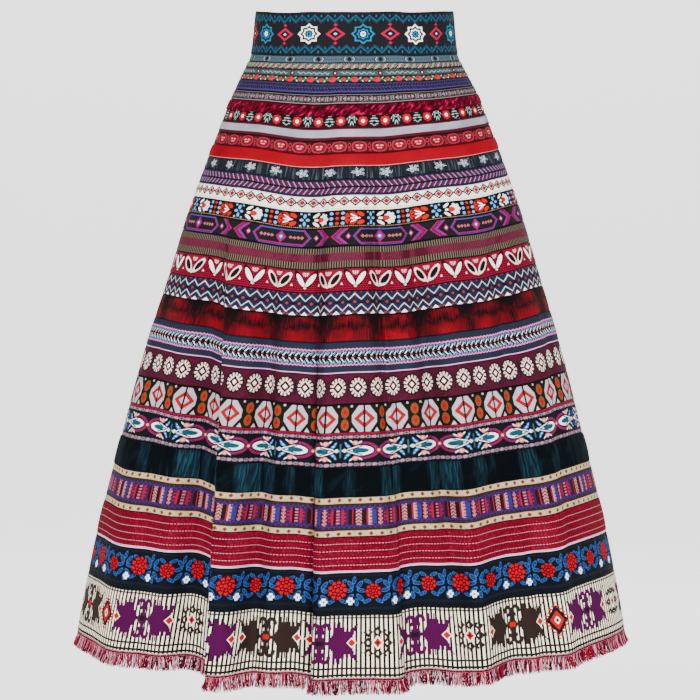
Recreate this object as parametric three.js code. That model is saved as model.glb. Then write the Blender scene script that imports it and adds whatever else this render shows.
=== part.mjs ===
// A worn ribbon skirt: a waistband, twenty-nine ribbons and trims sewn edge to edge, and a hem fringe.
// Millimetres, +Z up. The front faces -Y and the origin is the centre of the waist opening.
// Each ribbon is a closed ring wall around the hollow where the wearer stands.

import * as THREE from 'three';
import { ParametricGeometry } from 'three/addons/geometries/ParametricGeometry.js';
import { mergeVertices } from 'three/addons/utils/BufferGeometryUtils.js';

// Cloth
const seamGap = 0.3;
const wall = 1.6;
const waistbandWall = 2.4;

// Points around each ring: the folds begin below the hip, so the rings there have more
const pointsAboveHip = 36;
const pointsBelowHip = 64;
const hipRibbons = 12;

// Fringe
const stripHeight = 3;
const stripWall = 1.2;
const lockLength = 14;
const lockLengthVariation = 2.2;
const lockTaper = 0.45;
const lockFlare = 0.22;
const lockSway = 1.6;
const locksPerHemSide = 3;
// Steps of angle from lock to lock that make their length and sway uneven
const lockRhythm = { length: 2.4, swayX: 1.7, swayY: 2.9 };

// The skirt swings this far towards -X by its hem
const hemSwing = 4.2;

// Folds: the hip is this far down the cloth, and no fold lies past this share of the half width
const hipDown = 200;
const farthestAcross = 0.94;
const lipSteepness = 8;
const lipOverhang = 0.34;
const foldSag = 0.22;
const sagSteepness = 24;
const foldGrowth = 1.15;
const crowding = 0.62;
const crowdSpread = THREE.MathUtils.degToRad(3.6);
const crowdReach = 3;

// The form by distance down the cloth from the top edge: how far a side has dropped, half the width,
// the depth of the front and of the back from the middle, how much lower the front and the back hang than the
// sides, and how much higher the +X side hangs than the middle
const form = [
  { down: 0, drop: 0, half: 113.2, front: 92, back: 93, frontDip: 9.8, backDip: 2, lean: 0 },
  { down: 49.8, drop: 49.4, half: 118.8, front: 95.8, back: 99, frontDip: 9.6, backDip: 1.5, lean: 0 },
  { down: 73.6, drop: 70.8, half: 128.9, front: 98.7, back: 105, frontDip: 11.9, backDip: 1.5, lean: 1 },
  { down: 105, drop: 99, half: 142.6, front: 102.6, back: 115, frontDip: 15.4, backDip: 2, lean: 3.2 },
  { down: 144.1, drop: 135.3, half: 156.8, front: 108.4, back: 128, frontDip: 19, backDip: 3, lean: 4 },
  { down: 189.7, drop: 177.8, half: 173, front: 116.6, back: 141, frontDip: 20.2, backDip: 4.5, lean: 4.2 },
  { down: 243.5, drop: 228.2, half: 191.4, front: 127, back: 154, frontDip: 23.4, backDip: 6, lean: 4.6 },
  { down: 317, drop: 298.5, half: 212.6, front: 140.4, back: 170, frontDip: 23.6, backDip: 7.5, lean: 5 },
  { down: 408.4, drop: 385.6, half: 239.6, front: 158.2, back: 189, frontDip: 24.6, backDip: 9, lean: 2.6 },
  { down: 518.7, drop: 492, half: 268.2, front: 180.4, back: 211, frontDip: 19.8, backDip: 10, lean: 1.6 },
  { down: 634.9, drop: 604.5, half: 296.6, front: 203.4, back: 233, frontDip: 17.6, backDip: 11, lean: 1.5 },
  { down: 770.4, drop: 736.9, half: 322.6, front: 228, back: 257, frontDip: 15.4, backDip: 12, lean: 1.5 },
];

// Folds: the face it is on, how far across the skirt it falls at the hip and at the hem (+X positive),
// how far it stands out at the hem, how wide it is, where it starts, and its lip: 1 or -1 puts the
// steep side towards a larger or smaller azimuth, and 0 leaves the fold round on both sides
const folds = [
  { face: 'front', hip: -231, hem: -262, depth: 9, width: 34, start: 240, lip: 0 },
  { face: 'front', hip: -158, hem: -176, depth: -15, width: 26, start: 170, lip: 0 },
  { face: 'front', hip: -135, hem: -137, depth: 30, width: 44, start: 150, lip: -1 },
  { face: 'front', hip: -94, hem: -99, depth: -9, width: 17, start: 230, lip: 0 },
  { face: 'front', hip: -33, hem: -31, depth: 25, width: 52, start: 160, lip: -1 },
  { face: 'front', hip: 24, hem: 47, depth: 24, width: 36, start: 160, lip: 1 },
  { face: 'front', hip: 63, hem: 84, depth: -7, width: 20, start: 200, lip: 0 },
  { face: 'front', hip: 104, hem: 134, depth: 15, width: 27, start: 220, lip: 0 },
  { face: 'front', hip: 143, hem: 184, depth: -9, width: 20, start: 200, lip: 0 },
  { face: 'front', hip: 190, hem: 236, depth: 10, width: 30, start: 260, lip: 0 },
  { face: 'back', hip: 196, hem: 252, depth: 11, width: 32, start: 230, lip: 0 },
  { face: 'back', hip: 118, hem: 148, depth: 27, width: 44, start: 170, lip: -1 },
  { face: 'back', hip: 76, hem: 88, depth: -8, width: 20, start: 210, lip: 0 },
  { face: 'back', hip: 22, hem: 30, depth: 22, width: 46, start: 190, lip: -1 },
  { face: 'back', hip: -34, hem: -46, depth: 20, width: 34, start: 180, lip: 1 },
  { face: 'back', hip: -84, hem: -98, depth: -8, width: 22, start: 230, lip: 0 },
  { face: 'back', hip: -124, hem: -166, depth: 24, width: 42, start: 200, lip: 1 },
  { face: 'back', hip: -198, hem: -254, depth: 10, width: 34, start: 250, lip: 0 },
];

// Ribbons from the waist down: the width along the cloth, how far the face stands out, and the finish
const ribbons = [
  { name: 'waistband', width: 49.8, out: 0.8, colour: 0x2d2e33, roughness: 0.82 },
  { name: 'slate_star_ribbon', width: 8.7, out: 0.2, colour: 0x59667c, roughness: 0.6 },
  { name: 'lace_scroll_trim', width: 7.7, out: 0.5, colour: 0x9c8b76, roughness: 0.85 },
  { name: 'slate_square_ribbon', width: 7.4, out: 0.1, colour: 0x4d5970, roughness: 0.6 },
  { name: 'small_rose_ribbon', width: 7.0, out: 0.3, colour: 0x5a2a2e, roughness: 0.7 },
  { name: 'violet_zigzag_ribbon', width: 11.7, out: 0.1, colour: 0x4a3556, roughness: 0.7 },
  { name: 'lens_chain_ribbon', width: 12.7, out: 0.3, colour: 0x5f5650, roughness: 0.8 },
  { name: 'crimson_velvet_ribbon', width: 12.2, out: 0.6, colour: 0x8c1022, roughness: 0.9 },
  { name: 'red_flower_sprig_ribbon', width: 12.3, out: 0.2, colour: 0x2a1c20, roughness: 0.7 },
  { name: 'silver_felt_ribbon', width: 14.6, out: 0.4, colour: 0x8d8f92, roughness: 0.95 },
  { name: 'rounded_square_ribbon', width: 15.6, out: 0.1, colour: 0x6b1420, roughness: 0.8 },
  { name: 'scarlet_velvet_ribbon', width: 15.0, out: 0.7, colour: 0xa8151f, roughness: 0.9 },
  { name: 'gathered_blue_ribbon', width: 15.0, out: 0.1, colour: 0x2c3346, roughness: 0.75 },
  { name: 'slanted_bar_ribbon', width: 18.0, out: 0.3, colour: 0x4b3c5c, roughness: 0.75 },
  { name: 'diamond_chain_ribbon', width: 17.1, out: 0.2, colour: 0xc9bda4, roughness: 0.85 },
  { name: 'tulip_ribbon', width: 18.7, out: 0.1, colour: 0x2c1f1c, roughness: 0.75 },
  { name: 'chevron_medallion_ribbon', width: 21.0, out: 0.3, colour: 0x3a3346, roughness: 0.8 },
  { name: 'brown_tick_ribbon', width: 26.2, out: 0.1, colour: 0x5b3330, roughness: 0.7 },
  { name: 'crimson_leaf_ribbon', width: 26.3, out: 0.4, colour: 0x8e1622, roughness: 0.8 },
  { name: 'zigzag_diamond_ribbon', width: 26.4, out: 0.2, colour: 0x3b3a4c, roughness: 0.8 },
  { name: 'ikat_ribbon', width: 29.2, out: 0.1, colour: 0x6e1a1c, roughness: 0.8 },
  { name: 'denim_braid_trim', width: 35.8, out: 0.5, colour: 0x4c5c78, roughness: 0.9 },
  { name: 'burgundy_rosette_ribbon', width: 36.3, out: 0.2, colour: 0x5c1a2c, roughness: 0.75 },
  { name: 'hexagon_ribbon', width: 34.8, out: 0.3, colour: 0x2b2628, roughness: 0.8 },
  { name: 'petal_eye_ribbon', width: 39.2, out: 0.1, colour: 0x2c2a34, roughness: 0.75 },
  { name: 'teal_velvet_ribbon', width: 32.3, out: 0.6, colour: 0x12343d, roughness: 0.9 },
  { name: 'kilim_block_ribbon', width: 45.5, out: 0.3, colour: 0x6d4a4e, roughness: 0.85 },
  { name: 'red_chenille_ribbon', width: 38.4, out: 0.6, colour: 0xa3202a, roughness: 0.95 },
  { name: 'rose_ribbon', width: 48.5, out: 0.2, colour: 0x2a2734, roughness: 0.75 },
  { name: 'hem_kilim_ribbon', width: 67.5, out: 0.4, colour: 0x5d4a52, roughness: 0.85 },
];

const fringe = { name: 'hem_fringe', out: 0.2, colour: 0x8f3040, roughness: 0.95 };

const clothLength = ribbons.reduce((sum, ribbon) => sum + ribbon.width, 0);

// A column of the form at any distance down, on a smooth curve through its rows
function formAt(column, down) {
  const last = form.length - 1;
  let row = 0;
  while (row < last - 1 && down > form[row + 1].down) row += 1;
  const slope = (index) => {
    const before = form[Math.max(index - 1, 0)];
    const after = form[Math.min(index + 1, last)];
    return (after[column] - before[column]) / (after.down - before.down);
  };
  const span = form[row + 1].down - form[row].down;
  const t = (down - form[row].down) / span;
  const rise = t * t * (3 - 2 * t);
  const leave = t * (1 - t) * (1 - t) * span * slope(row);
  const arrive = t * t * (t - 1) * span * slope(row + 1);
  return form[row][column] * (1 - rise) + form[row + 1][column] * rise + leave + arrive;
}

// Azimuth is 0 at the front centre and grows towards +X
function wrapAngle(angle) {
  return Math.atan2(Math.sin(angle), Math.cos(angle));
}

function foldAzimuth(fold, down) {
  const fall = Math.max((down - hipDown) / (clothLength - hipDown), 0);
  const across = THREE.MathUtils.lerp(fold.hip, fold.hem, fall) / formAt('half', down);
  const side = Math.asin(THREE.MathUtils.clamp(across, -farthestAcross, farthestAcross));
  return fold.face === 'front' ? side : Math.PI - side;
}

// How far the folds carry the cloth out, along the ring where a lip overhangs, and down
function foldOffset(azimuth, down) {
  let out = 0;
  let slide = 0;
  let sag = 0;
  for (const fold of folds) {
    const grown = Math.max(0, (down - fold.start) / (clothLength - fold.start)) ** foldGrowth;
    if (grown === 0) continue;
    const centre = foldAzimuth(fold, down);
    const depth = formAt(fold.face, down);
    const radius = Math.hypot(formAt('half', down) * Math.cos(centre), depth * Math.sin(centre));
    const distance = wrapAngle(azimuth - centre) * radius;
    const steep = fold.lip !== 0 && Math.sign(distance) === fold.lip;
    const reach = fold.depth * grown;
    const shape = reach * Math.exp(-((distance / (steep ? lipSteepness : fold.width)) ** 2));
    out += shape;
    slide += fold.lip * lipOverhang * shape;
    sag += foldSag * reach * Math.exp(-((distance / (steep ? sagSteepness : fold.width)) ** 2));
  }
  return { out, slide, sag };
}

// A point of the cloth's middle surface, at an azimuth and a distance down from the top edge
function clothPoint(azimuth, down) {
  const toFront = Math.max(Math.cos(azimuth), 0);
  const toBack = Math.max(-Math.cos(azimuth), 0);
  const halfWidth = formAt('half', down);
  const halfDepth = formAt(toFront > 0 ? 'front' : 'back', down);
  const fold = foldOffset(azimuth, down);
  const outward = new THREE.Vector3(Math.sin(azimuth) / halfWidth, -Math.cos(azimuth) / halfDepth, 0);
  outward.normalize();
  const tangent = new THREE.Vector3(-outward.y, outward.x, 0);
  const swing = (hemSwing * down) / clothLength;
  const dip = formAt('frontDip', down) * toFront ** 2 + formAt('backDip', down) * toBack ** 2;
  const lean = formAt('lean', down) * Math.sin(azimuth);
  const point = new THREE.Vector3(
    halfWidth * Math.sin(azimuth) - swing,
    -halfDepth * Math.cos(azimuth),
    lean - formAt('drop', down) - dip - fold.sag,
  );
  point.addScaledVector(outward, fold.out);
  point.addScaledVector(tangent, fold.slide);
  return point;
}

// The same point moved out of the cloth, level, so that the rims of neighbouring ribbons stay parallel
function clothPointAt(azimuth, down, out) {
  const step = 0.01;
  const round = clothPoint(azimuth + step, down).sub(clothPoint(azimuth - step, down));
  const outward = new THREE.Vector3(round.y, -round.x, 0).normalize();
  return clothPoint(azimuth, down).addScaledVector(outward, out);
}

// Azimuths around a ring, closer together where a fold has a lip
function ringAzimuths(down, count) {
  const lips = folds.filter((fold) => fold.lip !== 0);
  return Array.from({ length: count }, (_, index) => {
    const even = (2 * Math.PI * index) / count;
    let azimuth = even;
    for (const fold of lips) {
      const off = wrapAngle(even - foldAzimuth(fold, down)) / crowdSpread;
      azimuth -= crowding * crowdSpread * Math.tanh(off) * Math.exp(-((off / crowdReach) ** 2));
    }
    return azimuth;
  });
}

// The corners of a ring wall's section at one azimuth: outer top, outer bottom, inner bottom, inner top
function ringWall(top, bottom, outer, inner, count) {
  const above = ringAzimuths(top, count);
  const below = ringAzimuths(bottom, count);
  return above.map((azimuth, index) => [
    clothPointAt(azimuth, top, outer),
    clothPointAt(below[index], bottom, outer),
    clothPointAt(below[index], bottom, inner),
    clothPointAt(azimuth, top, inner),
  ]);
}

// Joins the vertices that a surface repeats where it closes on itself
function welded(geometry) {
  const tolerance = 0.001;
  geometry.deleteAttribute('normal');
  geometry.deleteAttribute('uv');
  return mergeVertices(geometry, tolerance);
}

function ringGeometry(corners) {
  const count = corners.length;
  const sides = corners[0].length;
  const surface = (u, v, target) => {
    const index = Math.round(u * count) % count;
    const corner = Math.round((1 - v) * sides) % sides;
    target.copy(corners[index][corner]);
  };
  return welded(new ParametricGeometry(surface, count, sides));
}

function clothMaterial({ colour, roughness }) {
  return new THREE.MeshStandardMaterial({ color: colour, roughness, metalness: 0 });
}

function namedMesh(geometry, finish) {
  const mesh = new THREE.Mesh(geometry, clothMaterial(finish));
  mesh.name = finish.name;
  return mesh;
}

function makeRibbon(ribbon, index, top) {
  const thick = index === 0 ? waistbandWall : wall;
  const count = index < hipRibbons ? pointsAboveHip : pointsBelowHip;
  const start = index === 0 ? top : top + seamGap / 2;
  const end = top + ribbon.width - seamGap / 2;
  const outer = thick / 2 + ribbon.out;
  return namedMesh(ringGeometry(ringWall(start, end, outer, outer - thick, count)), ribbon);
}

// The strip follows the straight sides of the hem ring, with a lock hanging from each part of a side
function stripSections(top) {
  const outer = stripWall / 2 + fringe.out;
  const corners = ringWall(top, top + stripHeight, outer, outer - stripWall, pointsBelowHip);
  const sections = [];
  corners.forEach((section, index) => {
    const next = corners[(index + 1) % corners.length];
    for (let part = 0; part < locksPerHemSide; part += 1) {
      const share = part / locksPerHemSide;
      sections.push(section.map((corner, side) => corner.clone().lerp(next[side], share)));
    }
  });
  return sections;
}

// A lock is the half of a strip part's lower face that has three corners, drawn down to a blunt tip
function lockTip(root, lock) {
  const centre = root[0].clone().add(root[1]).add(root[2]).divideScalar(3);
  const length = lockLength + lockLengthVariation * Math.sin(lock * lockRhythm.length);
  const fall = new THREE.Vector3(centre.x, centre.y, 0).setLength(lockFlare * length);
  fall.x += lockSway * Math.sin(lock * lockRhythm.swayX);
  fall.y += lockSway * Math.cos(lock * lockRhythm.swayY);
  fall.z = -length;
  return root.map((corner) => corner.clone().sub(centre).multiplyScalar(lockTaper).add(centre).add(fall));
}

function makeFringe(top) {
  const sections = stripSections(top);
  const count = sections.length;
  const vertices = sections.flat();
  const faces = [];
  const quad = (a, b, c, d) => faces.push(a, b, c, a, c, d);
  sections.forEach((_, lock) => {
    const [outerTop, outerLow, innerLow, innerTop] = [0, 1, 2, 3].map((side) => lock * 4 + side);
    const following = ((lock + 1) % count) * 4;
    quad(outerTop, outerLow, following + 1, following);
    quad(innerLow, innerTop, following + 3, following + 2);
    quad(innerTop, outerTop, following, following + 3);
    faces.push(innerLow, following + 2, following + 1);
    const root = [outerLow, innerLow, following + 1];
    const tip = vertices.length;
    vertices.push(...lockTip(root.map((corner) => vertices[corner]), lock));
    for (let side = 0; side < 3; side += 1) {
      const other = (side + 1) % 3;
      quad(root[side], root[other], tip + other, tip + side);
    }
    faces.push(tip, tip + 1, tip + 2);
  });
  const geometry = new THREE.BufferGeometry();
  geometry.setFromPoints(vertices);
  geometry.setIndex(faces);
  return namedMesh(geometry, fringe);
}

const skirt = new THREE.Group();
let top = 0;
ribbons.forEach((ribbon, index) => {
  skirt.add(makeRibbon(ribbon, index, top));
  top += ribbon.width;
});
skirt.add(makeFringe(clothLength + seamGap / 2));

export default skirt;
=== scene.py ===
"""A worn ribbon skirt: a waistband, twenty-nine ribbons and trims sewn edge to edge, and a hem fringe.

Every ribbon is a thin shell on its own solid's form. Lengths in the tables are millimetres along the
cloth or around it, and the meshes are in metres. The front faces -Y and +X is the wearer's left.
"""

import math

import bpy
import numpy as np
from bpy.props import FloatProperty, FloatVectorProperty, IntProperty, PointerProperty
from bpy.types import Operator, Panel, PropertyGroup
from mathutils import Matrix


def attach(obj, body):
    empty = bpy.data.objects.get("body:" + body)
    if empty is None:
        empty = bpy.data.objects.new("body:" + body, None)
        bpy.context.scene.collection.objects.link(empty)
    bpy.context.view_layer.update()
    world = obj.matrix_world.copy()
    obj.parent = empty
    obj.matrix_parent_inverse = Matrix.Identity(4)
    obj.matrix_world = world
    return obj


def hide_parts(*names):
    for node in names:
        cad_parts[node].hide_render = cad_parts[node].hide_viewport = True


bl_info = {
    "name": "Ribbon Skirt",
    "version": (1, 0, 0),
    "blender": (4, 5, 0),
    "location": "View3D > Sidebar > Skirt",
    "description": "Builds a skirt of woven, embroidered and velvet ribbons on its packed solids",
    "category": "Object",
}

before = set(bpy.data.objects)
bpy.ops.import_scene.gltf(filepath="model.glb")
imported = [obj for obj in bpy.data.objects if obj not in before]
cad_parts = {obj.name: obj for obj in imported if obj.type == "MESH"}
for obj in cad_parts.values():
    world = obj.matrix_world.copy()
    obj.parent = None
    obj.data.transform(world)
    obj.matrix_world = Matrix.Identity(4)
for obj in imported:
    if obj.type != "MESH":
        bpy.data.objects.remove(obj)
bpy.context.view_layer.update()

MM = 0.001
SEAM_GAP = 0.3
WALL = 1.6
WAISTBAND_WALL = 2.4
HEM_SWING = 4.2
HIP_DOWN = 200
FARTHEST_ACROSS = 0.94
FOLD_GROWTH = 1.15
FOLD_SAG = 0.22
SAG_STEEPNESS = 24
LIP_STEEPNESS = 6.5
LIP_OVERHANG = 0.36
AZIMUTH_STEP = 0.006
LIP_CROWDING = 0.55
LIP_CROWD_SPREAD = math.radians(2.6)
LIP_CROWD_REACH = 3

# The form by distance down the cloth: how far a side has dropped, half the width, the depth of the
# front and of the back, how much lower the front and the back hang, and how much higher +X hangs.
# The distances, drops, half widths and front dips come from another program's measures in the photo.
# The depths and the back are guessed.
FORM_COLUMNS = ("down", "drop", "half", "front", "back", "front_dip", "back_dip", "lean")
FORM = np.array((
    (0, 0, 113.2, 92, 93, 9.8, 2, 0),
    (49.8, 49.4, 118.8, 95.8, 99, 9.6, 1.5, 0),
    (73.6, 70.8, 128.9, 98.7, 105, 11.9, 1.5, 1),
    (105, 99, 142.6, 102.6, 115, 15.4, 2, 3.2),
    (144.1, 135.3, 156.8, 108.4, 128, 19, 3, 4),
    (189.7, 177.8, 173, 116.6, 141, 20.2, 4.5, 4.2),
    (243.5, 228.2, 191.4, 127, 154, 23.4, 6, 4.6),
    (317, 298.5, 212.6, 140.4, 170, 23.6, 7.5, 5),
    (408.4, 385.6, 239.6, 158.2, 189, 24.6, 9, 2.6),
    (518.7, 492, 268.2, 180.4, 211, 19.8, 10, 1.6),
    (634.9, 604.5, 296.6, 203.4, 233, 17.6, 11, 1.5),
    (770.4, 736.9, 322.6, 228, 257, 15.4, 12, 1.5),
))

# Folds: the face, how far across at the hip and at the hem, depth, width, start, and the lip's side
FOLDS = (
    ("front", -231, -262, 9, 34, 240, 0),
    ("front", -158, -176, -15, 26, 170, 0),
    ("front", -135, -137, 30, 44, 150, -1),
    ("front", -94, -99, -5, 17, 230, 0),
    ("front", -33, -31, 25, 52, 160, -1),
    ("front", 24, 47, 24, 36, 160, 1),
    ("front", 63, 84, -4, 20, 200, 0),
    ("front", 104, 134, 15, 27, 220, 0),
    ("front", 143, 184, -9, 20, 200, 0),
    ("front", 190, 236, 10, 30, 260, 0),
    ("back", 196, 252, 11, 32, 230, 0),
    ("back", 118, 148, 27, 44, 170, -1),
    ("back", 76, 88, -8, 20, 210, 0),
    ("back", 22, 30, 22, 46, 190, -1),
    ("back", -34, -46, 20, 34, 180, 1),
    ("back", -84, -98, -8, 22, 230, 0),
    ("back", -124, -166, 24, 42, 200, 1),
    ("back", -198, -254, 10, 34, 250, 0),
)

# Grooves and creases: face, across at hip and hem, depth, width, start
CREASES = (
    ("front", -35, -36, -11, 6.5, 150),
    ("front", 18, 50, -11, 6.5, 150),
    ("front", -88, -106, -15, 12, 270),
    ("front", 58, 128, -13, 12, 165),
    ("front", 152, 214, -9, 12, 240),
    ("front", -150, -196, -9, 13, 260),
    ("back", 40, 62, -11, 7, 160),
    ("back", -16, -30, -10, 6.5, 150),
    ("back", 96, 120, -14, 12, 260),
    ("back", -70, -118, -13, 12, 180),
    ("back", 160, 206, -9, 13, 250),
    ("back", -150, -204, -9, 12, 240),
    ("front", -212, -236, -3.2, 13, 300),
    ("front", -186, -206, 2.6, 12, 250),
    ("front", -112, -120, 2.4, 9, 240),
    ("front", -76, -80, 2.8, 12, 170),
    ("front", -58, -60, -2.2, 9, 210),
    ("front", -14, -12, -2.4, 11, 230),
    ("front", 4, 14, 1.8, 9, 260),
    ("front", 44, 64, -2.6, 8, 190),
    ("front", 84, 108, -2.0, 11, 240),
    ("front", 122, 158, -2.6, 12, 250),
    ("front", 166, 208, 2.4, 10, 280),
    ("front", 208, 250, -2.6, 11, 300),
    ("back", 172, 214, -2.8, 12, 260),
    ("back", 142, 176, -2.2, 9, 230),
    ("back", 96, 118, 2.4, 11, 220),
    ("back", 52, 60, -2.6, 10, 250),
    ("back", -6, -8, -2.8, 12, 230),
    ("back", -58, -70, 2.2, 9, 220),
    ("back", -104, -134, -2.4, 11, 250),
    ("back", -150, -196, 2.6, 12, 260),
    ("back", -176, -228, -2.8, 13, 280),
)

# How far the rows hang below the form's own curve: a row for each level, a column for each place
# across the front, from one side to the other. Another program made this table: it followed the
# seams in the photo, and the results were smoothed and rounded to half a millimetre.
DIP_LEVELS = np.array((30, 90, 160, 240, 320, 400, 480, 560, 640, 710))
DIP_PLACES = np.linspace(-0.9, 0.9, 19)
ROW_DIPS = np.array((
    (2.5, 3.5, 3.5, 3, 1.5, 1, 1, 0.5, 0.5, 0.5, 0.5, 0.5, 0.5, 0.5, 2, 2.5, 2.5, 2.5, 2),
    (1.5, 1.5, 1, 1.5, 1.5, 1.5, 1.5, 1, 0, 0.5, 0.5, 1, 1, 1, 1.5, 2.5, 2.5, 2.5, 2.5),
    (1, 0, -1, 0, 1.5, 3, 3, 2, 0.5, 0.5, 1, 2, 1.5, 1, 1, 1.5, 2.5, 3, 2.5),
    (0, -0.5, -1.5, -0.5, 1.5, 3.5, 4, 3, 0.5, 0, 0.5, 2, 2, 1, 0, 1, 2.5, 3, 1),
    (-0.5, -0.5, -0.5, -0.5, 1.5, 3.5, 4.5, 3.5, 1.5, 0, 0, 2.5, 3.5, 2, -0.5, 1.5, 3.5, 2, -1),
    (-1, 0, 1.5, 1, 1.5, 4, 5, 5, 3.5, 1.5, 1, 3, 4.5, 3, 0.5, 3, 4, 1.5, -1),
    (-4, -2.5, 0, 1.5, 0, 2, 4.5, 4.5, 3, 1, 0, 1, 2.5, 1.5, -0.5, 1.5, 2, -1, -2.5),
    (-2, -2, -2, 1.5, 0, 1.5, 5, 4.5, 3, 1.5, -0.5, 0.5, 3, 2, 1, 3, 1.5, -2, -2),
    (-2, -2, -2, -1.5, -1.5, -1, 3, 2.5, 1, 0, -2.5, -1.5, 2, 1.5, 0.5, 3, -0.5, -2, -2),
    (-2, -2, -2, -3.5, -0.5, -0.5, 1, 0, -0.5, -1, -2.5, -2, 1.5, 2, 0.5, 2.5, -1.5, -2, -2),
))
DIP_LEVEL_REACH = 45
DIP_PLACE_REACH = 0.075
DIP_SIDE_FADE = 0.36
DIP_BACK_SHARE = 0.7

# Ribbons from the waist down: width, how far the face stands out, how much its middle puffs, the
# height of its puckers, and how many puckers there are in 100 mm. The widths come from the same
# measures as the form's.
RIBBONS = (
    ("waistband", 49.8, 0.8, 0.2, 0.05, 3.0),
    ("slate_star_ribbon", 8.7, 0.2, 0.35, 0.10, 5.0),
    ("lace_scroll_trim", 7.7, 0.5, 0.40, 0.10, 6.0),
    ("slate_square_ribbon", 7.4, 0.1, 0.35, 0.10, 5.0),
    ("small_rose_ribbon", 7.0, 0.3, 0.40, 0.08, 5.0),
    ("violet_zigzag_ribbon", 11.7, 0.1, 0.30, 0.10, 5.0),
    ("lens_chain_ribbon", 12.7, 0.3, 0.35, 0.10, 5.0),
    ("crimson_velvet_ribbon", 12.2, 0.6, 0.70, 0.42, 9.0),
    ("red_flower_sprig_ribbon", 12.3, 0.2, 0.35, 0.10, 5.0),
    ("silver_felt_ribbon", 14.6, 0.4, 0.45, 0.10, 4.0),
    ("rounded_square_ribbon", 15.6, 0.1, 0.35, 0.10, 5.0),
    ("scarlet_velvet_ribbon", 15.0, 0.7, 0.90, 0.12, 7.0),
    ("gathered_blue_ribbon", 15.0, 0.1, 0.60, 0.50, 8.0),
    ("slanted_bar_ribbon", 18.0, 0.3, 0.30, 0.12, 4.0),
    ("diamond_chain_ribbon", 17.1, 0.2, 0.30, 0.12, 4.0),
    ("tulip_ribbon", 18.7, 0.1, 0.30, 0.12, 4.0),
    ("chevron_medallion_ribbon", 21.0, 0.3, 0.30, 0.14, 4.0),
    ("brown_tick_ribbon", 26.2, 0.1, 0.35, 0.16, 4.0),
    ("crimson_leaf_ribbon", 26.3, 0.4, 0.35, 0.14, 3.5),
    ("zigzag_diamond_ribbon", 26.4, 0.2, 0.30, 0.14, 3.5),
    ("ikat_ribbon", 29.2, 0.1, 0.50, 0.22, 4.5),
    ("denim_braid_trim", 35.8, 0.5, 0.45, 0.16, 3.5),
    ("burgundy_rosette_ribbon", 36.3, 0.2, 0.35, 0.22, 4.5),
    ("hexagon_ribbon", 34.8, 0.3, 0.30, 0.14, 3.0),
    ("petal_eye_ribbon", 39.2, 0.1, 0.30, 0.14, 3.0),
    ("teal_velvet_ribbon", 32.3, 0.6, 1.10, 0.55, 4.5),
    ("kilim_block_ribbon", 45.5, 0.3, 0.30, 0.14, 3.0),
    ("red_chenille_ribbon", 38.4, 0.6, 0.80, 0.24, 3.5),
    ("rose_ribbon", 48.5, 0.2, 0.40, 0.22, 3.5),
    ("hem_kilim_ribbon", 67.5, 0.4, 0.35, 0.18, 2.5),
)
NAMES = tuple(ribbon[0] for ribbon in RIBBONS)
WAIST_RIBBONS = NAMES[:5]
HIP_RIBBONS = NAMES[5:13]
MIDDLE_RIBBONS = NAMES[13:21]
LOWER_RIBBONS = NAMES[21:29]
CREASE_RISE = 75
CLOTH_LENGTH = sum(ribbon[1] for ribbon in RIBBONS)
PUCKER_SEED = 41
UV_NAME = "Strip"
SLOPE_NAME = "slope"
TONE_NAME = "tone"
LINING_TUCK = 0.12
GIRTH_STEPS = 1200
HEM_REPEAT = 656
HEM_FIGURE_REACH = 42
FRINGE_STRIP = 3.0
FRINGE_COLUMNS = 1400
FRINGE_OUT = 0.2
FRINGE_EDGE = 0.15
FRINGE_SEED = 7
# The share of the threads where each colour starts
FRINGE_TONES = (
    (0, "fringe_dark"), (0.27, "fringe_red"), (0.42, "fringe_white"), (0.48, "fringe_red"),
    (0.6, "fringe_navy"), (0.7, "fringe_red"), (0.84, "fringe_white"),
)

# The camera stands a little below the waist and looks slightly down
CAMERA_PLACE = (-0.0053, -2.8, -0.2966)
CAMERA_PITCH = 87.9996
CAMERA_LENS = 123.15


def form_at(column, down):
    """A column of the form at distances down the cloth, on a smooth curve through its rows."""
    downs = FORM[:, 0]
    values = FORM[:, FORM_COLUMNS.index(column)]
    last = len(downs) - 1
    steps = np.arange(last + 1)
    before = np.maximum(steps - 1, 0)
    after = np.minimum(steps + 1, last)
    slopes = (values[after] - values[before]) / (downs[after] - downs[before])
    row = np.clip(np.searchsorted(downs, down) - 1, 0, last - 1)
    span = downs[row + 1] - downs[row]
    t = (down - downs[row]) / span
    rise = t * t * (3 - 2 * t)
    leave = t * (1 - t) ** 2 * span * slopes[row]
    arrive = t * t * (t - 1) * span * slopes[row + 1]
    return values[row] * (1 - rise) + values[row + 1] * rise + leave + arrive


def wrap_angle(angle):
    return np.arctan2(np.sin(angle), np.cos(angle))


def fold_azimuth(face, hip, hem, down):
    """The azimuth of a fold: 0 is the front centre, and it grows towards +X."""
    fall = np.maximum((down - HIP_DOWN) / (CLOTH_LENGTH - HIP_DOWN), 0)
    across = (hip + (hem - hip) * fall) / form_at("half", down)
    side = np.arcsin(np.clip(across, -FARTHEST_ACROSS, FARTHEST_ACROSS))
    return side if face == "front" else math.pi - side


def fold_distance(azimuth, down, centre, face):
    radius = np.hypot(form_at("half", down) * np.cos(centre), form_at(face, down) * np.sin(centre))
    return wrap_angle(azimuth - centre) * radius


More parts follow.
